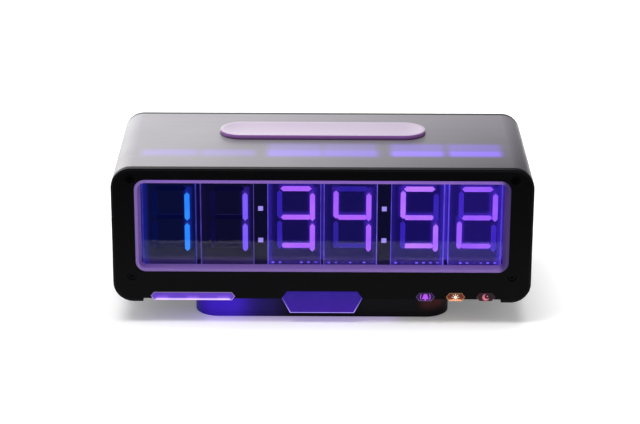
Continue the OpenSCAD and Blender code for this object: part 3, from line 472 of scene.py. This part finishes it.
def engraving_tool(letter, back, slip):
    """A bar with pointed ends, ready to be cut into the back of a plate."""
    half_x, half_z = bar_size(letter)
    x, z = bar_middle(letter)
    middle = Vector((x + slip, back, z))
    tool = block("bar", middle - Vector((half_x, ENGRAVE_T, half_z)),
                 middle + Vector((half_x, ENGRAVE_T, half_z)))
    along = Vector((1, 0, 0)) if half_x > half_z else Vector((0, 0, 1))
    side = Vector((0, 0, 1)) if half_x > half_z else Vector((1, 0, 0))
    for end in (-1, 1):
        tip = middle + along * end * max(half_x, half_z)
        for lean in (-1, 1):
            slice_at(tool, tip, (along * end + side * lean).normalized(), clear=True)
    return tool


def clear_plate(place, width, foot, head, slip):
    """One plate about the digit's middle: a sheet with a tab, bevelled edges and a bar."""
    letter = PLATE_ORDER[place]
    front = STACK_FRONT + place * PLATE_PITCH
    back = front + PLATE_T
    plate = block("plate", (-width / 2, front, foot), (width / 2, back, head))
    tab_x = (place - 3) * TAB_PITCH
    for side in (-1, 1):
        slice_at(plate, (tab_x + side * TAB_W / 2, 0, 0), (1, 0, 0))
    pick(plate, "FACE", lambda centre, normal: normal.z < -0.9
         and abs(centre.x - tab_x) < TAB_W / 2)
    bpy.ops.mesh.extrude_region_move(TRANSFORM_OT_translate={"value": (0, 0, -TAB_H)})
    leave_edit()
    pick(plate, "EDGE", lambda a, b: abs(a.x - b.x) < TINY and abs(a.y - b.y) < TINY
         and abs(abs(a.x) - width / 2) < TINY)
    bpy.ops.mesh.bevel(offset=EDGE_CUT, segments=1, affect="EDGES")
    leave_edit()
    cut_away(plate, engraving_tool(letter, back, slip))
    x, z = bar_middle(letter)
    half_x, half_z = bar_size(letter)
    clear_slot = FRONT_SLOT if place < FIRST_REAR else REAR_SLOT
    for face in plate.data.polygons:
        inside = (abs(face.center.x - x - slip) < half_x and abs(face.center.z - z) < half_z
                  and back - ENGRAVE_T - TINY < face.center.y < back - TINY)
        flat = abs(face.normal.y) > 0.99
        face.material_index = BAR_SLOT if inside else clear_slot if flat else EDGE_SLOT
    tag = plate.data.attributes.new("place", "INT", "FACE")
    tag.data.foreach_set("value", [place] * len(plate.data.polygons))
    return plate


def digit_stack(slips, skins):
    """The seven plates of one digit, about its middle."""
    low, high = digit_boxes[0]
    middle = digit_middle(0)
    width = high.x - low.x
    plates = []
    for place in range(7):
        plate = clear_plate(place, width, low.z + TAB_H - middle.z, high.z - middle.z,
                            slips.get(PLATE_ORDER[place], 0.0))
        indices = [face.material_index for face in plate.data.polygons]
        dress(plate, *skins)
        plate.data.polygons.foreach_set("material_index", indices)
        plates.append(plate)
    return weld("stack", plates)


def light_stack(stack, digit):
    """Stores each face's light: bars, edges and the lamp under each lit plate's tab."""
    mesh = stack.data
    middle = digit_middle(digit)
    foot = digit_boxes[digit][0].z + TAB_H
    places = [item.value for item in mesh.attributes["place"].data]
    glow, tabs = [], []
    for face, place in zip(mesh.polygons, places):
        lit = PLATE_ORDER[place] in SHOWN[digit]
        gain = 1 / loss_before(place)
        if face.material_index == BAR_SLOT:
            faint = 1.0 if digit > 1 else 0.45 if PLATE_ORDER[place] in "ef" else 0.26
            colour = LIT[digit] if lit else scaled(UNLIT[digit], faint)
        elif face.material_index == EDGE_SLOT:
            colour = scaled(EDGE[digit], 1.0 if lit else 0.45)
        elif face.normal.y < 0:
            colour = (0, 0, 0)
        else:
            uneven = 0.7 + 0.1 * ((place * 5 + digit * 3) % 7)
            strength = (1.0 if lit else 0.18) if digit > 1 else 0.04
            colour = scaled(TAB_GLOW, uneven * strength)
        glow += [*scaled(colour, gain), 1.0]
        # lower on each plate further back, so that the dots stand in one line from the front
        drop = DOT_DROP_FRONT * min(place, 3) + DOT_DROP_BACK * max(place - 3, 0)
        tabs += [middle.x + (place - 3) * TAB_PITCH, 0, foot + (DOT_UP - drop) * MM]
    mesh.attributes.new("glow", "FLOAT_COLOR", "FACE").data.foreach_set("color", glow)
    mesh.attributes.new("tab_place", "FLOAT_VECTOR", "FACE").data.foreach_set("vector", tabs)


def build_digits():
    """Six stacks in front of their light cells, each in place of its plain plates."""
    skins = [plate_front_material(), plate_rear_material(), engraving_material(),
             cut_edge_material()]
    plain = digit_stack({}, skins)
    last = digit_stack(LAST_SLIPS, skins)
    for digit in range(6):
        model = last if digit == 5 else plain
        stack = model.copy()
        stack.data = model.data.copy()
        bpy.context.scene.collection.objects.link(stack)
        stack.name = stack.data.name = "digit_%d_stack" % (digit + 1)
        stack.location = digit_middle(digit)
        settle(stack)
        light_stack(stack, digit)
        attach(stack, "case")
        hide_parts("digit_%d_plates" % (digit + 1))
    for model in (plain, last):
        bpy.data.objects.remove(model)


# ---------- indicator plates ----------

def outline_plate(name, node, widest_up, in_low, in_high, rim, skins):
    """A six-sided plate of the same outline as its plain one, with a cut rim and a flange."""
    low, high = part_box(node)
    ear = 1.5 * MM
    left, right = low.x + ear, high.x - ear
    flange_front = high.y - 2 * MM
    top = widest_up[1]
    plate = block(name, (left, low.y, low.z), (right, flange_front, top))
    widest = widest_up[0]
    slice_at(plate, (0, 0, widest), (0, 0, 1))
    half = (right - left) / 2
    middle = (left + right) / 2
    for level, inset in ((low.z, in_low), (top, in_high)):
        pick(plate, "EDGE", lambda a, b: abs(a.z - level) < TINY and abs(b.z - level) < TINY)
        bpy.ops.transform.resize(value=((half - inset) / half, 1, 1),
                                 center_override=(middle, 0, 0))
        leave_edit()
    pick(plate, "EDGE", lambda a, b: abs(a.y - low.y) < TINY and abs(b.y - low.y) < TINY
         and not (abs(a.z - widest) < TINY and abs(b.z - widest) < TINY))
    bpy.ops.mesh.bevel(offset=rim, segments=1, affect="EDGES")
    leave_edit()
    flange = block("flange", (low.x, flange_front - 0.01 * MM, FLOOR_Z + 0.1 * MM),
                   (high.x, high.y, FLOOR_Z + 4.9 * MM))
    plate = weld(name, [plate, flange])
    dress(plate, *skins)
    for face in plate.data.polygons:
        bevelled = -0.99 < face.normal.y < -0.3
        face.material_index = 1 if bevelled else 0
    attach(plate, "case")
    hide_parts(node)
    return plate


def lit_plate(name, low_colour, high_colour, low_z, high_z, mottle=0.15, spots=()):
    """A translucent plate lit from behind, its colour changing from foot to head."""
    material, tree, shader, place = new_material(name)
    up = put(tree, "SeparateXYZ", {0: place}).outputs["Z"]
    share = put(tree, "MapRange", {"Value": up, "From Min": low_z, "From Max": high_z}).outputs[0]
    ramp = put(tree, "MixRGB", {"Fac": share, "Color1": low_colour, "Color2": high_colour})
    cloud = put(tree, "TexNoise", {"Vector": place, "Scale": 220.0, "Detail": 2.0}).outputs[0]
    light = vectors(tree, "SCALE", ramp.outputs[0],
                    Scale=spread(tree, cloud, 1 - mottle, 1 + mottle))
    for centre, reach, softness, colour in spots:
        light = use(tree, SPILL, Place=place, Centre=centre, Reach=reach, Softness=softness,
                    Colour=colour, Under=light)["Colour"]
    tree.links.new(light, shader.inputs["Emission Color"])
    tree.links.new(vectors(tree, "SCALE", light, Scale=0.06), shader.inputs["Base Color"])
    set_plain(shader, Roughness=0.35, Emission_Strength=1.0, Specular_IOR_Level=0.1)
    return material


ICON_SINK = 0.02 * MM
ICON_T = 0.2 * MM
TILE_H = 5 * MM
LAMP_PITCH = 17.4 * MM


def icon_frame(node):
    """Middle of an icon plate's face, and the depth at which its icon stands."""
    low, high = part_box(node)
    return Vector(((low.x + high.x) / 2, low.y + ICON_SINK - ICON_T / 2, low.z + TILE_H / 2))


def bell_icon(centre):
    dome = disc("bell", centre + Vector((0, 0, 0.6 * MM)), 1.3 * MM, ICON_T, 24)
    skirt = block("skirt", centre + Vector((-1.3, -0.1, -1.2)) * MM,
                  centre + Vector((1.3, 0.1, 0.6)) * MM)
    pick(skirt, "EDGE", lambda a, b: a.z < centre.z and b.z < centre.z)
    bpy.ops.transform.resize(value=(1.42, 1, 1), center_override=centre)
    leave_edit()
    clapper = disc("clapper", centre + Vector((0, 0, -1.55 * MM)), 0.5 * MM, ICON_T, 12)
    parts = [dome, skirt, clapper]
    for side in (-1, 1):
        wave = disc("wave", centre + Vector((0, 0, 0.1 * MM)), 3.0 * MM, ICON_T, 32)
        cut_away(wave, disc("inner", centre + Vector((0, 0, 0.1 * MM)), 2.55 * MM, 1 * MM, 32))
        slice_at(wave, centre + Vector((side * 2.3, 0, 0)) * MM, (-side, 0, 0), clear=True)
        parts.append(wave)
    return weld("alarm_icon", parts)


def sun_icon(centre):
    parts = [disc("sun", centre, 1.0 * MM, ICON_T, 24)]
    for turn in range(8):
        ray = block("ray", (-0.2 * MM, -ICON_T / 2, 1.3 * MM), (0.2 * MM, ICON_T / 2, 2.2 * MM))
        pick(ray, "EDGE", lambda a, b: a.z > 1.7 * MM and b.z > 1.7 * MM)
        bpy.ops.transform.resize(value=(0.5, 1, 1), center_override=(0, 0, 0))
        leave_edit()
        ray.matrix_world = (Matrix.Translation(centre)
                            @ Matrix.Rotation(turn * math.pi / 4, 4, "Y"))
        settle(ray)
        parts.append(ray)
    return weld("brightness_icon", parts)


def moon_icon(centre):
    moon = disc("moon", centre, 2.0 * MM, ICON_T, 32)
    cut_away(moon, disc("bite", centre + Vector((0.9, 0, 0.65)) * MM, 1.6 * MM, 1 * MM, 32))
    star = disc("star", centre + Vector((0.9, 0, 0.65)) * MM, 0.5 * MM, ICON_T, 4)
    return weld("night_icon", [moon, star])


def build_indicators():
    """Badge, label and icon plates, their glow and their icons."""
    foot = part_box("badge_plate")[0].z
    head = FLOOR_Z + 4.4 * MM
    outline_plate("badge", "badge_plate", (FLOOR_Z, head), 4.8 * MM, 3.3 * MM, 0.7 * MM,
                  [lit_plate("badge glow", seen(58, 24, 150), seen(46, 26, 138), foot, head),
                   lit_plate("badge rim", seen(169, 146, 255), seen(50, 32, 140), foot,
                             FLOOR_Z + MM)])
    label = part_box("label_plate")
    low = label[0].z
    middle = (label[0].x + label[1].x) / 2
    strip = [((middle, label[0].y, low + 0.6 * MM), (21 * MM, MM, 0.1 * MM), 0.5 * MM,
              seen(214, 184, 250))]
    strip += [((middle + step * LAMP_PITCH, label[0].y, low + 0.8 * MM), (2 * MM, MM, 0.1 * MM),
               1.5 * MM, scaled(seen(190, 150, 250), 0.25)) for step in (-1, 0, 1)]
    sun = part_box("brightness_icon_plate")
    warm = [(((sun[0].x + sun[1].x) / 2, sun[0].y, low + 0.5 * MM), (3 * MM, MM, 0.1 * MM),
             0.6 * MM, seen(250, 160, 100))]
    for node, name, ground, rim, spots in (
            ("label_plate", "label", seen(106, 68, 208), seen(240, 220, 255), strip),
            ("alarm_icon_plate", "alarm", seen(38, 28, 62), seen(140, 104, 186), ()),
            ("brightness_icon_plate", "brightness", seen(112, 46, 28), seen(255, 196, 140), warm),
            ("night_icon_plate", "night", seen(42, 29, 34), seen(124, 82, 100), ())):
        outline_plate(name + "_tile", node, (low + TILE_H / 2, low + TILE_H), 2 * MM, 2 * MM,
                      0.3 * MM,
                      [lit_plate(name + " glow", ground, scaled(ground, 0.8), low,
                                 low + TILE_H, spots=spots),
                       lit_plate(name + " rim", rim, scaled(rim, 0.3), low, low + 3 * MM)])
    for node, make, colour in (
            ("alarm_icon_plate", bell_icon, seen(190, 90, 250)),
            ("brightness_icon_plate", sun_icon, seen(255, 240, 222)),
            ("night_icon_plate", moon_icon, seen(215, 115, 135))):
        icon = make(icon_frame(node))
        dress(icon, lit_plate(icon.name + " light", colour, scaled(colour, 0.9), low,
                              low + TILE_H))
        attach(icon, "case")


# ---------- materials of the case ----------

def shell_material():
    """Smoke-grey printed shell: fine layer lines, painted sheen and shade on its top (lighter at
    the front left and towards the back, darker at the front right), and the light cells showing
    through its top.
    """
    def colour(tree, place):
        parts = put(tree, "SeparateXYZ", {0: place}).outputs
        # painted sheen and shade: along the front the colour runs from light at the left to dark at
        # the right, and it turns lighter towards the back
        across = put(tree, "MapRange", {"Value": parts["X"], "From Min": -0.1, "From Max": 0.1})
        back = put(tree, "MapRange", {"Value": parts["Y"], "From Min": FACE_Y, "From Max": -FACE_Y})
        front = put(tree, "MixRGB", {"Fac": across.outputs[0], "Color1": seen(108, 105, 111),
                                     "Color2": seen(72, 69, 76)}).outputs[0]
        shade = put(tree, "MixRGB", {"Fac": back.outputs[0], "Color1": front,
                                     "Color2": seen(122, 119, 126)}).outputs[0]
        streaks = put(tree, "TexNoise", {"Vector": vectors(tree, "MULTIPLY", place, (6, 900, 900)),
                                         "Scale": 1.0, "Detail": 2.0}).outputs[0]
        return vectors(tree, "SCALE", shade, Scale=spread(tree, streaks, 0.88, 1.12))
    material, tree, shader, place = grained(
        "smoke shell", colour, 0.36, size=1600.0, bump=0.04, mottle=0.1,
        gloss_spread=0.14, Specular_IOR_Level=0.5)
    layers = put(tree, "TexWave", {"Vector": place, "Scale": 700.0, "Distortion": 0.6},
                 bands_direction="Y")
    bump = shader.inputs["Normal"].links[0].from_node
    ridges = put(tree, "Bump", {"Height": layers.outputs["Fac"], "Strength": 0.08,
                                "Distance": 0.05 * MM, "Normal": bump.outputs[0]})
    tree.links.new(ridges.outputs[0], shader.inputs["Normal"])
    spills = []
    for digit in range(6):
        x = digit_middle(digit).x
        dim = digit < 2
        light = scaled(CELL_LIGHT, CELL_SHARE[digit])
        spills.append(((x, FACE_Y + 28 * MM, TOP_Z), (13 * MM, 3 * MM, MM),
                       (2.2 if digit > 3 else 3.6) * MM, scaled(light, 0.65)))
        spills.append(((x, FACE_Y + (30 if dim else 35) * MM, TOP_Z),
                       (12.5 * MM, (2 if dim else 8) * MM, MM), 3.5 * MM, scaled(light, 0.55)))
    add_spills(tree, shader, place, spills)
    return material


def baffle_material():
    """Matt black light baffle, with the glow that the digits throw on its front."""
    material, tree, shader, place = grained("black baffle", (0.006, 0.006, 0.008), 0.7,
                                            Specular_IOR_Level=0.2)
    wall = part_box("light_baffle")[0].y
    far = 1 / loss_before(7)
    spills = []
    for digit in range(6):
        middle = digit_middle(digit)
        half = (digit_boxes[digit][1].x - digit_boxes[digit][0].x) / 2
        spills.append(((middle.x, wall, middle.z), (half - 2 * MM, MM, 32 * MM), 2 * MM,
                       scaled(HAZE[digit], far)))
        crown = scaled(HALO[digit], far * (1.0 if digit > 1 else 0.24))
        spills.append(((middle.x, wall, middle.z + 29 * MM), (half - MM, MM, MM), 3.5 * MM,
                       crown))
        for letter in SHOWN[digit]:
            x, z = bar_middle(letter)
            half_x, half_z = bar_size(letter)
            spills.append(((middle.x + x, wall, middle.z + z), (half_x, MM, half_z), 1.0 * MM,
                           scaled(HALO[digit], far)))
        for side, share in ((-1, STRIP_LEFT[digit]), (1, STRIP_RIGHT[digit])):
            spills.append(((middle.x + side * half, wall, middle.z), (0.8 * MM, MM, 30 * MM),
                           1.6 * MM, scaled(STRIP[digit], far * share)))
    add_spills(tree, shader, place, spills)
    return material


def trim_material():
    """Grey-violet trim, with painted shade that makes its right upright darker, and the glow of the
    digits on it.
    """
    def colour(tree, place):
        across = put(tree, "SeparateXYZ", {0: place}).outputs["X"]
        # painted shade: the right upright gets a much darker colour than the rest of the trim
        share = put(tree, "MapRange", {"Value": across, "From Min": 0.1015, "From Max": 0.1035})
        return put(tree, "MixRGB", {"Fac": share.outputs[0], "Color1": seen(122, 99, 148),
                                    "Color2": seen(46, 40, 52)}).outputs[0]
    material, tree, shader, place = grained("violet trim", colour, 0.5, bump=0.03, mottle=0.08,
                                            Specular_IOR_Level=0.3)
    low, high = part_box("window_trim")
    middle = (low + high) / 2
    half = (high - low) / 2
    add_spills(tree, shader, place, [
        ((middle.x - 5 * MM, middle.y, middle.z), (half.x - 5 * MM, half.y, half.z), 10 * MM,
         scaled(seen(64, 40, 118), 0.8)),
        ((middle.x, FACE_Y, high.z - MM), (half.x * 0.9, 8 * MM, MM), 2 * MM,
         scaled(seen(116, 30, 196), 0.2)),
        ((high.x * 0.75, FACE_Y + 4 * MM, low.z + 2 * MM), (0.03, 4 * MM, 2 * MM), 0.06,
         scaled(seen(70, 36, 110), 0.15)),
    ])
    return material


def plinth_material():
    """Black plinth with the light that falls on it from the label and the icons."""
    material, tree, shader, place = grained("black plinth", (0.004, 0.0035, 0.005), 0.5,
                                            Specular_IOR_Level=0.1)
    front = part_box("base_plinth")[0].y
    spills = [
        ((-58 * MM, front, 12 * MM), (4 * MM, 8 * MM, 4 * MM), 11 * MM, seen(54, 22, 182)),
        ((-38 * MM, front, 11 * MM), (6 * MM, 8 * MM, 4 * MM), 9 * MM, seen(24, 12, 78)),
        ((64 * MM, front, 12 * MM), (4 * MM, 8 * MM, 3 * MM), 3 * MM, seen(48, 18, 18)),
    ]
    add_spills(tree, shader, place, spills)
    return material


def snooze_material():
    """Lilac snooze bar, pale on top, with painted shade that darkens its sides towards their foot.
    """
    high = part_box("snooze_bar")[1]

    def colour(tree, place):
        # painted shade: the sides run from bright lilac at their top edge to dark at their foot;
        # faces that look up keep the pale top colour
        up = put(tree, "SeparateXYZ", {0: place}).outputs["Z"]
        share = put(tree, "MapRange", {"Value": up, "From Min": TOP_Z, "From Max": high.z})
        side = put(tree, "MixRGB", {"Fac": share.outputs[0], "Color1": seen(61, 33, 78),
                                    "Color2": seen(197, 131, 225)}).outputs[0]
        facing = put(tree, "SeparateXYZ", {0: put(tree, "NewGeometry").outputs["Normal"]})
        top = put(tree, "MapRange", {"Value": facing.outputs["Z"], "From Min": 0.3,
                                     "From Max": 0.7}).outputs[0]
        return put(tree, "MixRGB", {"Fac": top, "Color1": side,
                                    "Color2": seen(174, 160, 180)}).outputs[0]
    return grained("lilac snooze bar", colour, 0.38, size=1400.0, bump=0.03, mottle=0.06,
                   Specular_IOR_Level=0.45)[0]


def brushed(name, colour, roughness):
    """Plain metal with fine drawn lines."""
    material, tree, shader, place = new_material(name)
    lines = put(tree, "TexNoise", {"Vector": vectors(tree, "MULTIPLY", place, (1, 14, 14)),
                                   "Scale": 500.0, "Detail": 2.0}).outputs[0]
    tree.links.new(vectors(tree, "SCALE", colour, Scale=spread(tree, lines, 0.86, 1.1)),
                   shader.inputs["Base Color"])
    tree.links.new(spread(tree, lines, roughness - 0.08, roughness + 0.1),
                   shader.inputs["Roughness"])
    set_plain(shader, Metallic=1.0)
    return material


def board_material():
    """Green circuit board with darker tracks under its mask."""
    def colour(tree, place):
        tracks = put(tree, "TexBrick", {"Vector": place, "Scale": 160.0, "Mortar Size": 0.03,
                                        "Color1": (0.012, 0.075, 0.035),
                                        "Color2": (0.016, 0.088, 0.042),
                                        "Mortar": (0.03, 0.15, 0.07)})
        return tracks.outputs["Color"]
    return grained("green board", colour, 0.32, bump=0.02)[0]


def glowing_pipe():
    """Light pipes of the colons: bright squares on a dim body."""
    material, tree, shader, place = new_material("colon light")
    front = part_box("colon_light_pipes")[0].y
    depth = put(tree, "SeparateXYZ", {0: place}).outputs["Y"]
    near = put(tree, "MapRange", {"Value": depth, "From Min": front, "From Max": front + 2 * MM,
                                  "To Min": 1.0, "To Max": 0.25}).outputs[0]
    cloud = put(tree, "TexNoise", {"Vector": place, "Scale": 300.0}).outputs[0]
    glow = vectors(tree, "SCALE", scaled(seen(160, 140, 240), 1 / SURFACE_PASS ** 2),
                   Scale=maths(tree, "MULTIPLY", near, spread(tree, cloud, 0.85, 1.15)))
    tree.links.new(glow, shader.inputs["Emission Color"])
    tree.links.new(vectors(tree, "SCALE", glow, Scale=0.2), shader.inputs["Base Color"])
    set_plain(shader, Roughness=0.3, Emission_Strength=1.0)
    return material


def colon_mask_material():
    """Black colon masks, with a faint painted blue glow from the digits beside them."""
    material, tree, shader, place = grained("colon mask", (0.004, 0.004, 0.006), 0.6,
                                            Specular_IOR_Level=0.2)
    low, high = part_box("colon_masks")
    x = (digit_middle(3).x + digit_middle(4).x) / 2
    light = scaled(seen(12, 11, 40), 1 / SURFACE_PASS ** 2)
    add_spills(tree, shader, place, [
        ((side * x, low.y, (low.z + high.z) / 2), (5 * MM, 2 * MM, 24 * MM), 6 * MM, light)
        for side in (-1, 1)])
    return material


def bezel_material():
    """Black bezel with a faint painted highlight along a chamfer line that follows its outline."""
    material, tree, shader, place = grained("black bezel", (0.0026, 0.0026, 0.0032), 0.45,
                                            size=1200.0, bump=0.03, Specular_IOR_Level=0.05)
    low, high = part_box("front_bezel")
    middle = (low + high) / 2
    corner = 11.5 * MM
    straight = ((high.x - low.x) / 2 - corner, 1, (high.z - low.z) / 2 - corner)
    off = vectors(tree, "ABSOLUTE", vectors(tree, "SUBTRACT", place, middle))
    past = vectors(tree, "MAXIMUM", vectors(tree, "SUBTRACT", off, straight))
    inside = maths(tree, "SUBTRACT", corner, vectors(tree, "LENGTH", past))
    # painted highlight: a faint glow in a thin band 0.9 mm inside the outline, where the chamfer
    # would catch the light
    steps = maths(tree, "DIVIDE", maths(tree, "SUBTRACT", inside, 0.9 * MM), 0.25 * MM)
    line = maths(tree, "EXPONENT", maths(tree, "MULTIPLY", maths(tree, "MULTIPLY", steps, steps),
                                         -1.0))
    tree.links.new(vectors(tree, "SCALE", seen(22, 21, 26), Scale=line),
                   shader.inputs["Emission Color"])
    set_plain(shader, Emission_Strength=1.0)
    return material


def dress_case():
    """Gives every plain CAD node its finish."""
    def plastic(name, colour, roughness, **more):
        return grained(name, colour, roughness, **more)[0]

    black = plastic("black moulding", (0.0085, 0.0085, 0.0095), 0.45, Specular_IOR_Level=0.3)
    steel = brushed("plain steel", (0.55, 0.56, 0.58), 0.32)
    board = board_material()
    brown = plastic("brown plunger", (0.25, 0.1, 0.07), 0.45)
    lilac = plastic("lilac button", seen(200, 180, 212), 0.4, mottle=0.06)
    dark_steel = brushed("blackened steel", (0.008, 0.008, 0.009), 0.5)
    holder = plastic("black holder", (0.004, 0.004, 0.006), 0.6, Specular_IOR_Level=0.2)
    cable = plastic("grey cable", (0.22, 0.23, 0.25), 0.55)
    header = plastic("cream header", (0.72, 0.69, 0.58), 0.5)
    finishes = {
        "front_bezel": bezel_material(), "window_trim": trim_material(),
        "window_lens": clear_acrylic("window lens", 1.3, (0.97, 0.97, 1.0), spotted=0.012)[0],
        "shell": shell_material(),
        "rear_panel": plastic("black rear panel", (0.011, 0.011, 0.012), 0.55, size=700.0,
                              bump=0.08, Specular_IOR_Level=0.35),
        "bottom_tray": black,
        "base_plinth": plinth_material(),
        "plinth_pads": plastic("pad rubber", (0.016, 0.016, 0.017), 0.85, size=500.0, bump=0.2),
        "lower_plate_holder": holder, "upper_plate_holder": holder,
        "colon_masks": colon_mask_material(),
        "colon_light_pipes": glowing_pipe(), "light_baffle": baffle_material(),
        "display_board": board, "main_board": board, "snooze_board": board,
        "display_leds": lit_plate("lamp light", seen(150, 110, 250), seen(150, 110, 250), 0, 1),
        "indicator_leds": lit_plate("indicator lamp", seen(190, 150, 250), seen(190, 150, 250),
                                    0, 1),
        "controller_module": steel, "usb_socket": steel, "coin_cell": steel,
        "buzzer": black, "coin_cell_holder": black, "button_switches": black,
        "snooze_switch": black, "snooze_carrier": black,
        "board_headers": header, "ribbon_cable": cable, "snooze_lead": cable,
        "snooze_bar": snooze_material(), "snooze_springs": steel,
        "snooze_plunger": brown, "mode_plunger": brown, "plus_plunger": brown,
        "minus_plunger": brown,
        "mode_button": lilac, "plus_button": lilac, "minus_button": lilac,
        "bezel_screws": dark_steel, "rear_screws": dark_steel,
        "tray_screws": steel, "plinth_screws": steel, "board_screws": steel,
        "carrier_screws": steel,
    }
    for node, material in finishes.items():
        dress(nodes[node], material)


# ---------- floor, shades and light ----------

ROOM_LIGHT = 0.4
FLOOR_LIFT = 0.19
FAR_LIFT = 0.3
SHADE_Y = -0.1715
CARD_Y = 0.7
LAMP_PLACE = (-0.08, -0.05, 1.3)
LAMP_SIZE = (0.5, 1.4)
LAMP_POWER = 18


def seen_directly(tree):
    """1 for rays from the camera, from gloss and through glass."""
    path = put(tree, "LightPath").outputs
    both = maths(tree, "MAXIMUM", path["Is Camera Ray"], path["Is Glossy Ray"])
    return maths(tree, "MAXIMUM", both, path["Is Transmission Ray"])


def white_room():
    world = bpy.data.worlds.new("white room")
    bpy.context.scene.world = world
    world.use_nodes = True
    tree = world.node_tree
    back = tree.nodes["Background"]
    tree.links.new(spread(tree, seen_directly(tree), ROOM_LIGHT, 1.0), back.inputs["Strength"])
    back.inputs["Color"].default_value = (1, 1, 1, 1)


def stage_sheet(name, low, high, material):
    """A flat sheet between two corners that belongs to the studio and not to the clock."""
    low, high = Vector(low), Vector(high)
    bpy.ops.object.select_all(action="DESELECT")
    bpy.ops.mesh.primitive_plane_add(size=1)
    sheet = bpy.context.object
    sheet.name = name
    size = high - low
    if size.x < min(size.y, size.z):
        sheet.rotation_euler = (0, math.pi / 2, 0)
        sheet.scale = (size.z, size.y, 1)
    elif size.z > size.y:
        sheet.rotation_euler = (math.pi / 2, 0, 0)
        sheet.scale = (size.x, size.z, 1)
    else:
        sheet.scale = (size.x, size.y, 1)
    sheet.location = (low + high) / 2
    settle(sheet)
    dress(sheet, material)
    return sheet


def floor_material():
    """Pale floor that keeps the shadow and reads white where nothing shades it, with painted violet
    light from the label in front of the plinth.
    """
    material, tree, shader, place = grained("pale floor", (0.92, 0.92, 0.92), 0.75, size=300.0,
                                            bump=0.02, mottle=0.02, Specular_IOR_Level=0.2)
    far = put(tree, "MapRange", {"Value": vectors(tree, "LENGTH", place), "From Min": 0.2,
                                 "From Max": 0.7, "To Min": FLOOR_LIFT, "To Max": FAR_LIFT})
    tree.links.new(maths(tree, "MULTIPLY", seen_directly(tree), far.outputs[0]),
                   shader.inputs["Emission Strength"])
    # painted light: a violet glow along the plinth's front tints the floor's lift there
    glow = use(tree, SPILL, Place=place, Centre=(-12 * MM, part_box("base_plinth")[0].y, 0),
               Reach=(50 * MM, 2 * MM, MM), Softness=7 * MM, Colour=(0.55, 0.27, 1.17),
               Under=(1, 1, 1))["Colour"]
    tree.links.new(glow, shader.inputs["Emission Color"])
    return material


def card_material(left, right):
    """A studio card whose brightness runs from its left edge to its right edge."""
    material, tree, shader, place = new_material("studio card")
    across = put(tree, "SeparateXYZ", {0: place}).outputs["X"]
    light = put(tree, "MapRange", {"Value": across, "From Min": -0.3, "From Max": 0.3,
                                   "To Min": left, "To Max": right},
                interpolation_type="SMOOTHSTEP").outputs[0]
    tree.links.new(light, shader.inputs["Emission Color"])
    set_plain(shader, Base_Color=[0.0, 0.0, 0.0], Roughness=1.0, Specular_IOR_Level=0.0,
              Emission_Strength=1.0)
    return material


def card(name, low, high, light, glossy, through):
    """A studio card that only shows in gloss or through glass, and casts no shadow."""
    sheet = stage_sheet(name, low, high, card_material(*light))
    sheet.visible_camera = sheet.visible_diffuse = sheet.visible_shadow = False
    sheet.visible_glossy = glossy
    sheet.visible_transmission = through


def lamp(name, place, target, size, power):
    """A white rectangular lamp that faces its target."""
    data = bpy.data.lights.new(name, "AREA")
    data.shape = "RECTANGLE"
    data.size, data.size_y = size
    data.energy = power
    obj = bpy.data.objects.new(name, data)
    bpy.context.scene.collection.objects.link(obj)
    obj.matrix_world = (Matrix.Translation(place)
                        @ (Vector(target) - Vector(place)).to_track_quat("-Z", "Y")
                        .to_matrix().to_4x4())


def build_studio():
    """White room, floor, the cards that show in gloss and through glass, and one lamp."""
    white_room()
    stage_sheet("floor", (-4, -4, 0), (4, 4, 0), floor_material())
    card("front_shade", (-0.7, SHADE_Y, 0.0005), (0.7, SHADE_Y, 0.7), (0, 0), True, True)
    card("window_shade", (-0.7, SHADE_Y, 0.001), (0.7, FACE_Y - 4 * MM, 0.001), (0, 0), False,
         True)
    card("rear_card", (-1.6, CARD_Y, 0.002), (1.6, CARD_Y, 1.2), (2.6, 0.15), True, False)
    card("left_card", (-0.6, -0.4, 0.02), (-0.6, 0.6, 0.8), (4.0, 4.0), True, False)
    lamp("top_light", LAMP_PLACE, (0, 0, 0.05), LAMP_SIZE, LAMP_POWER)


# ---------- build ----------

photo_camera()
build_digits()
build_indicators()
dress_case()
build_studio()
bpy.context.scene.view_settings.view_transform = "Standard"
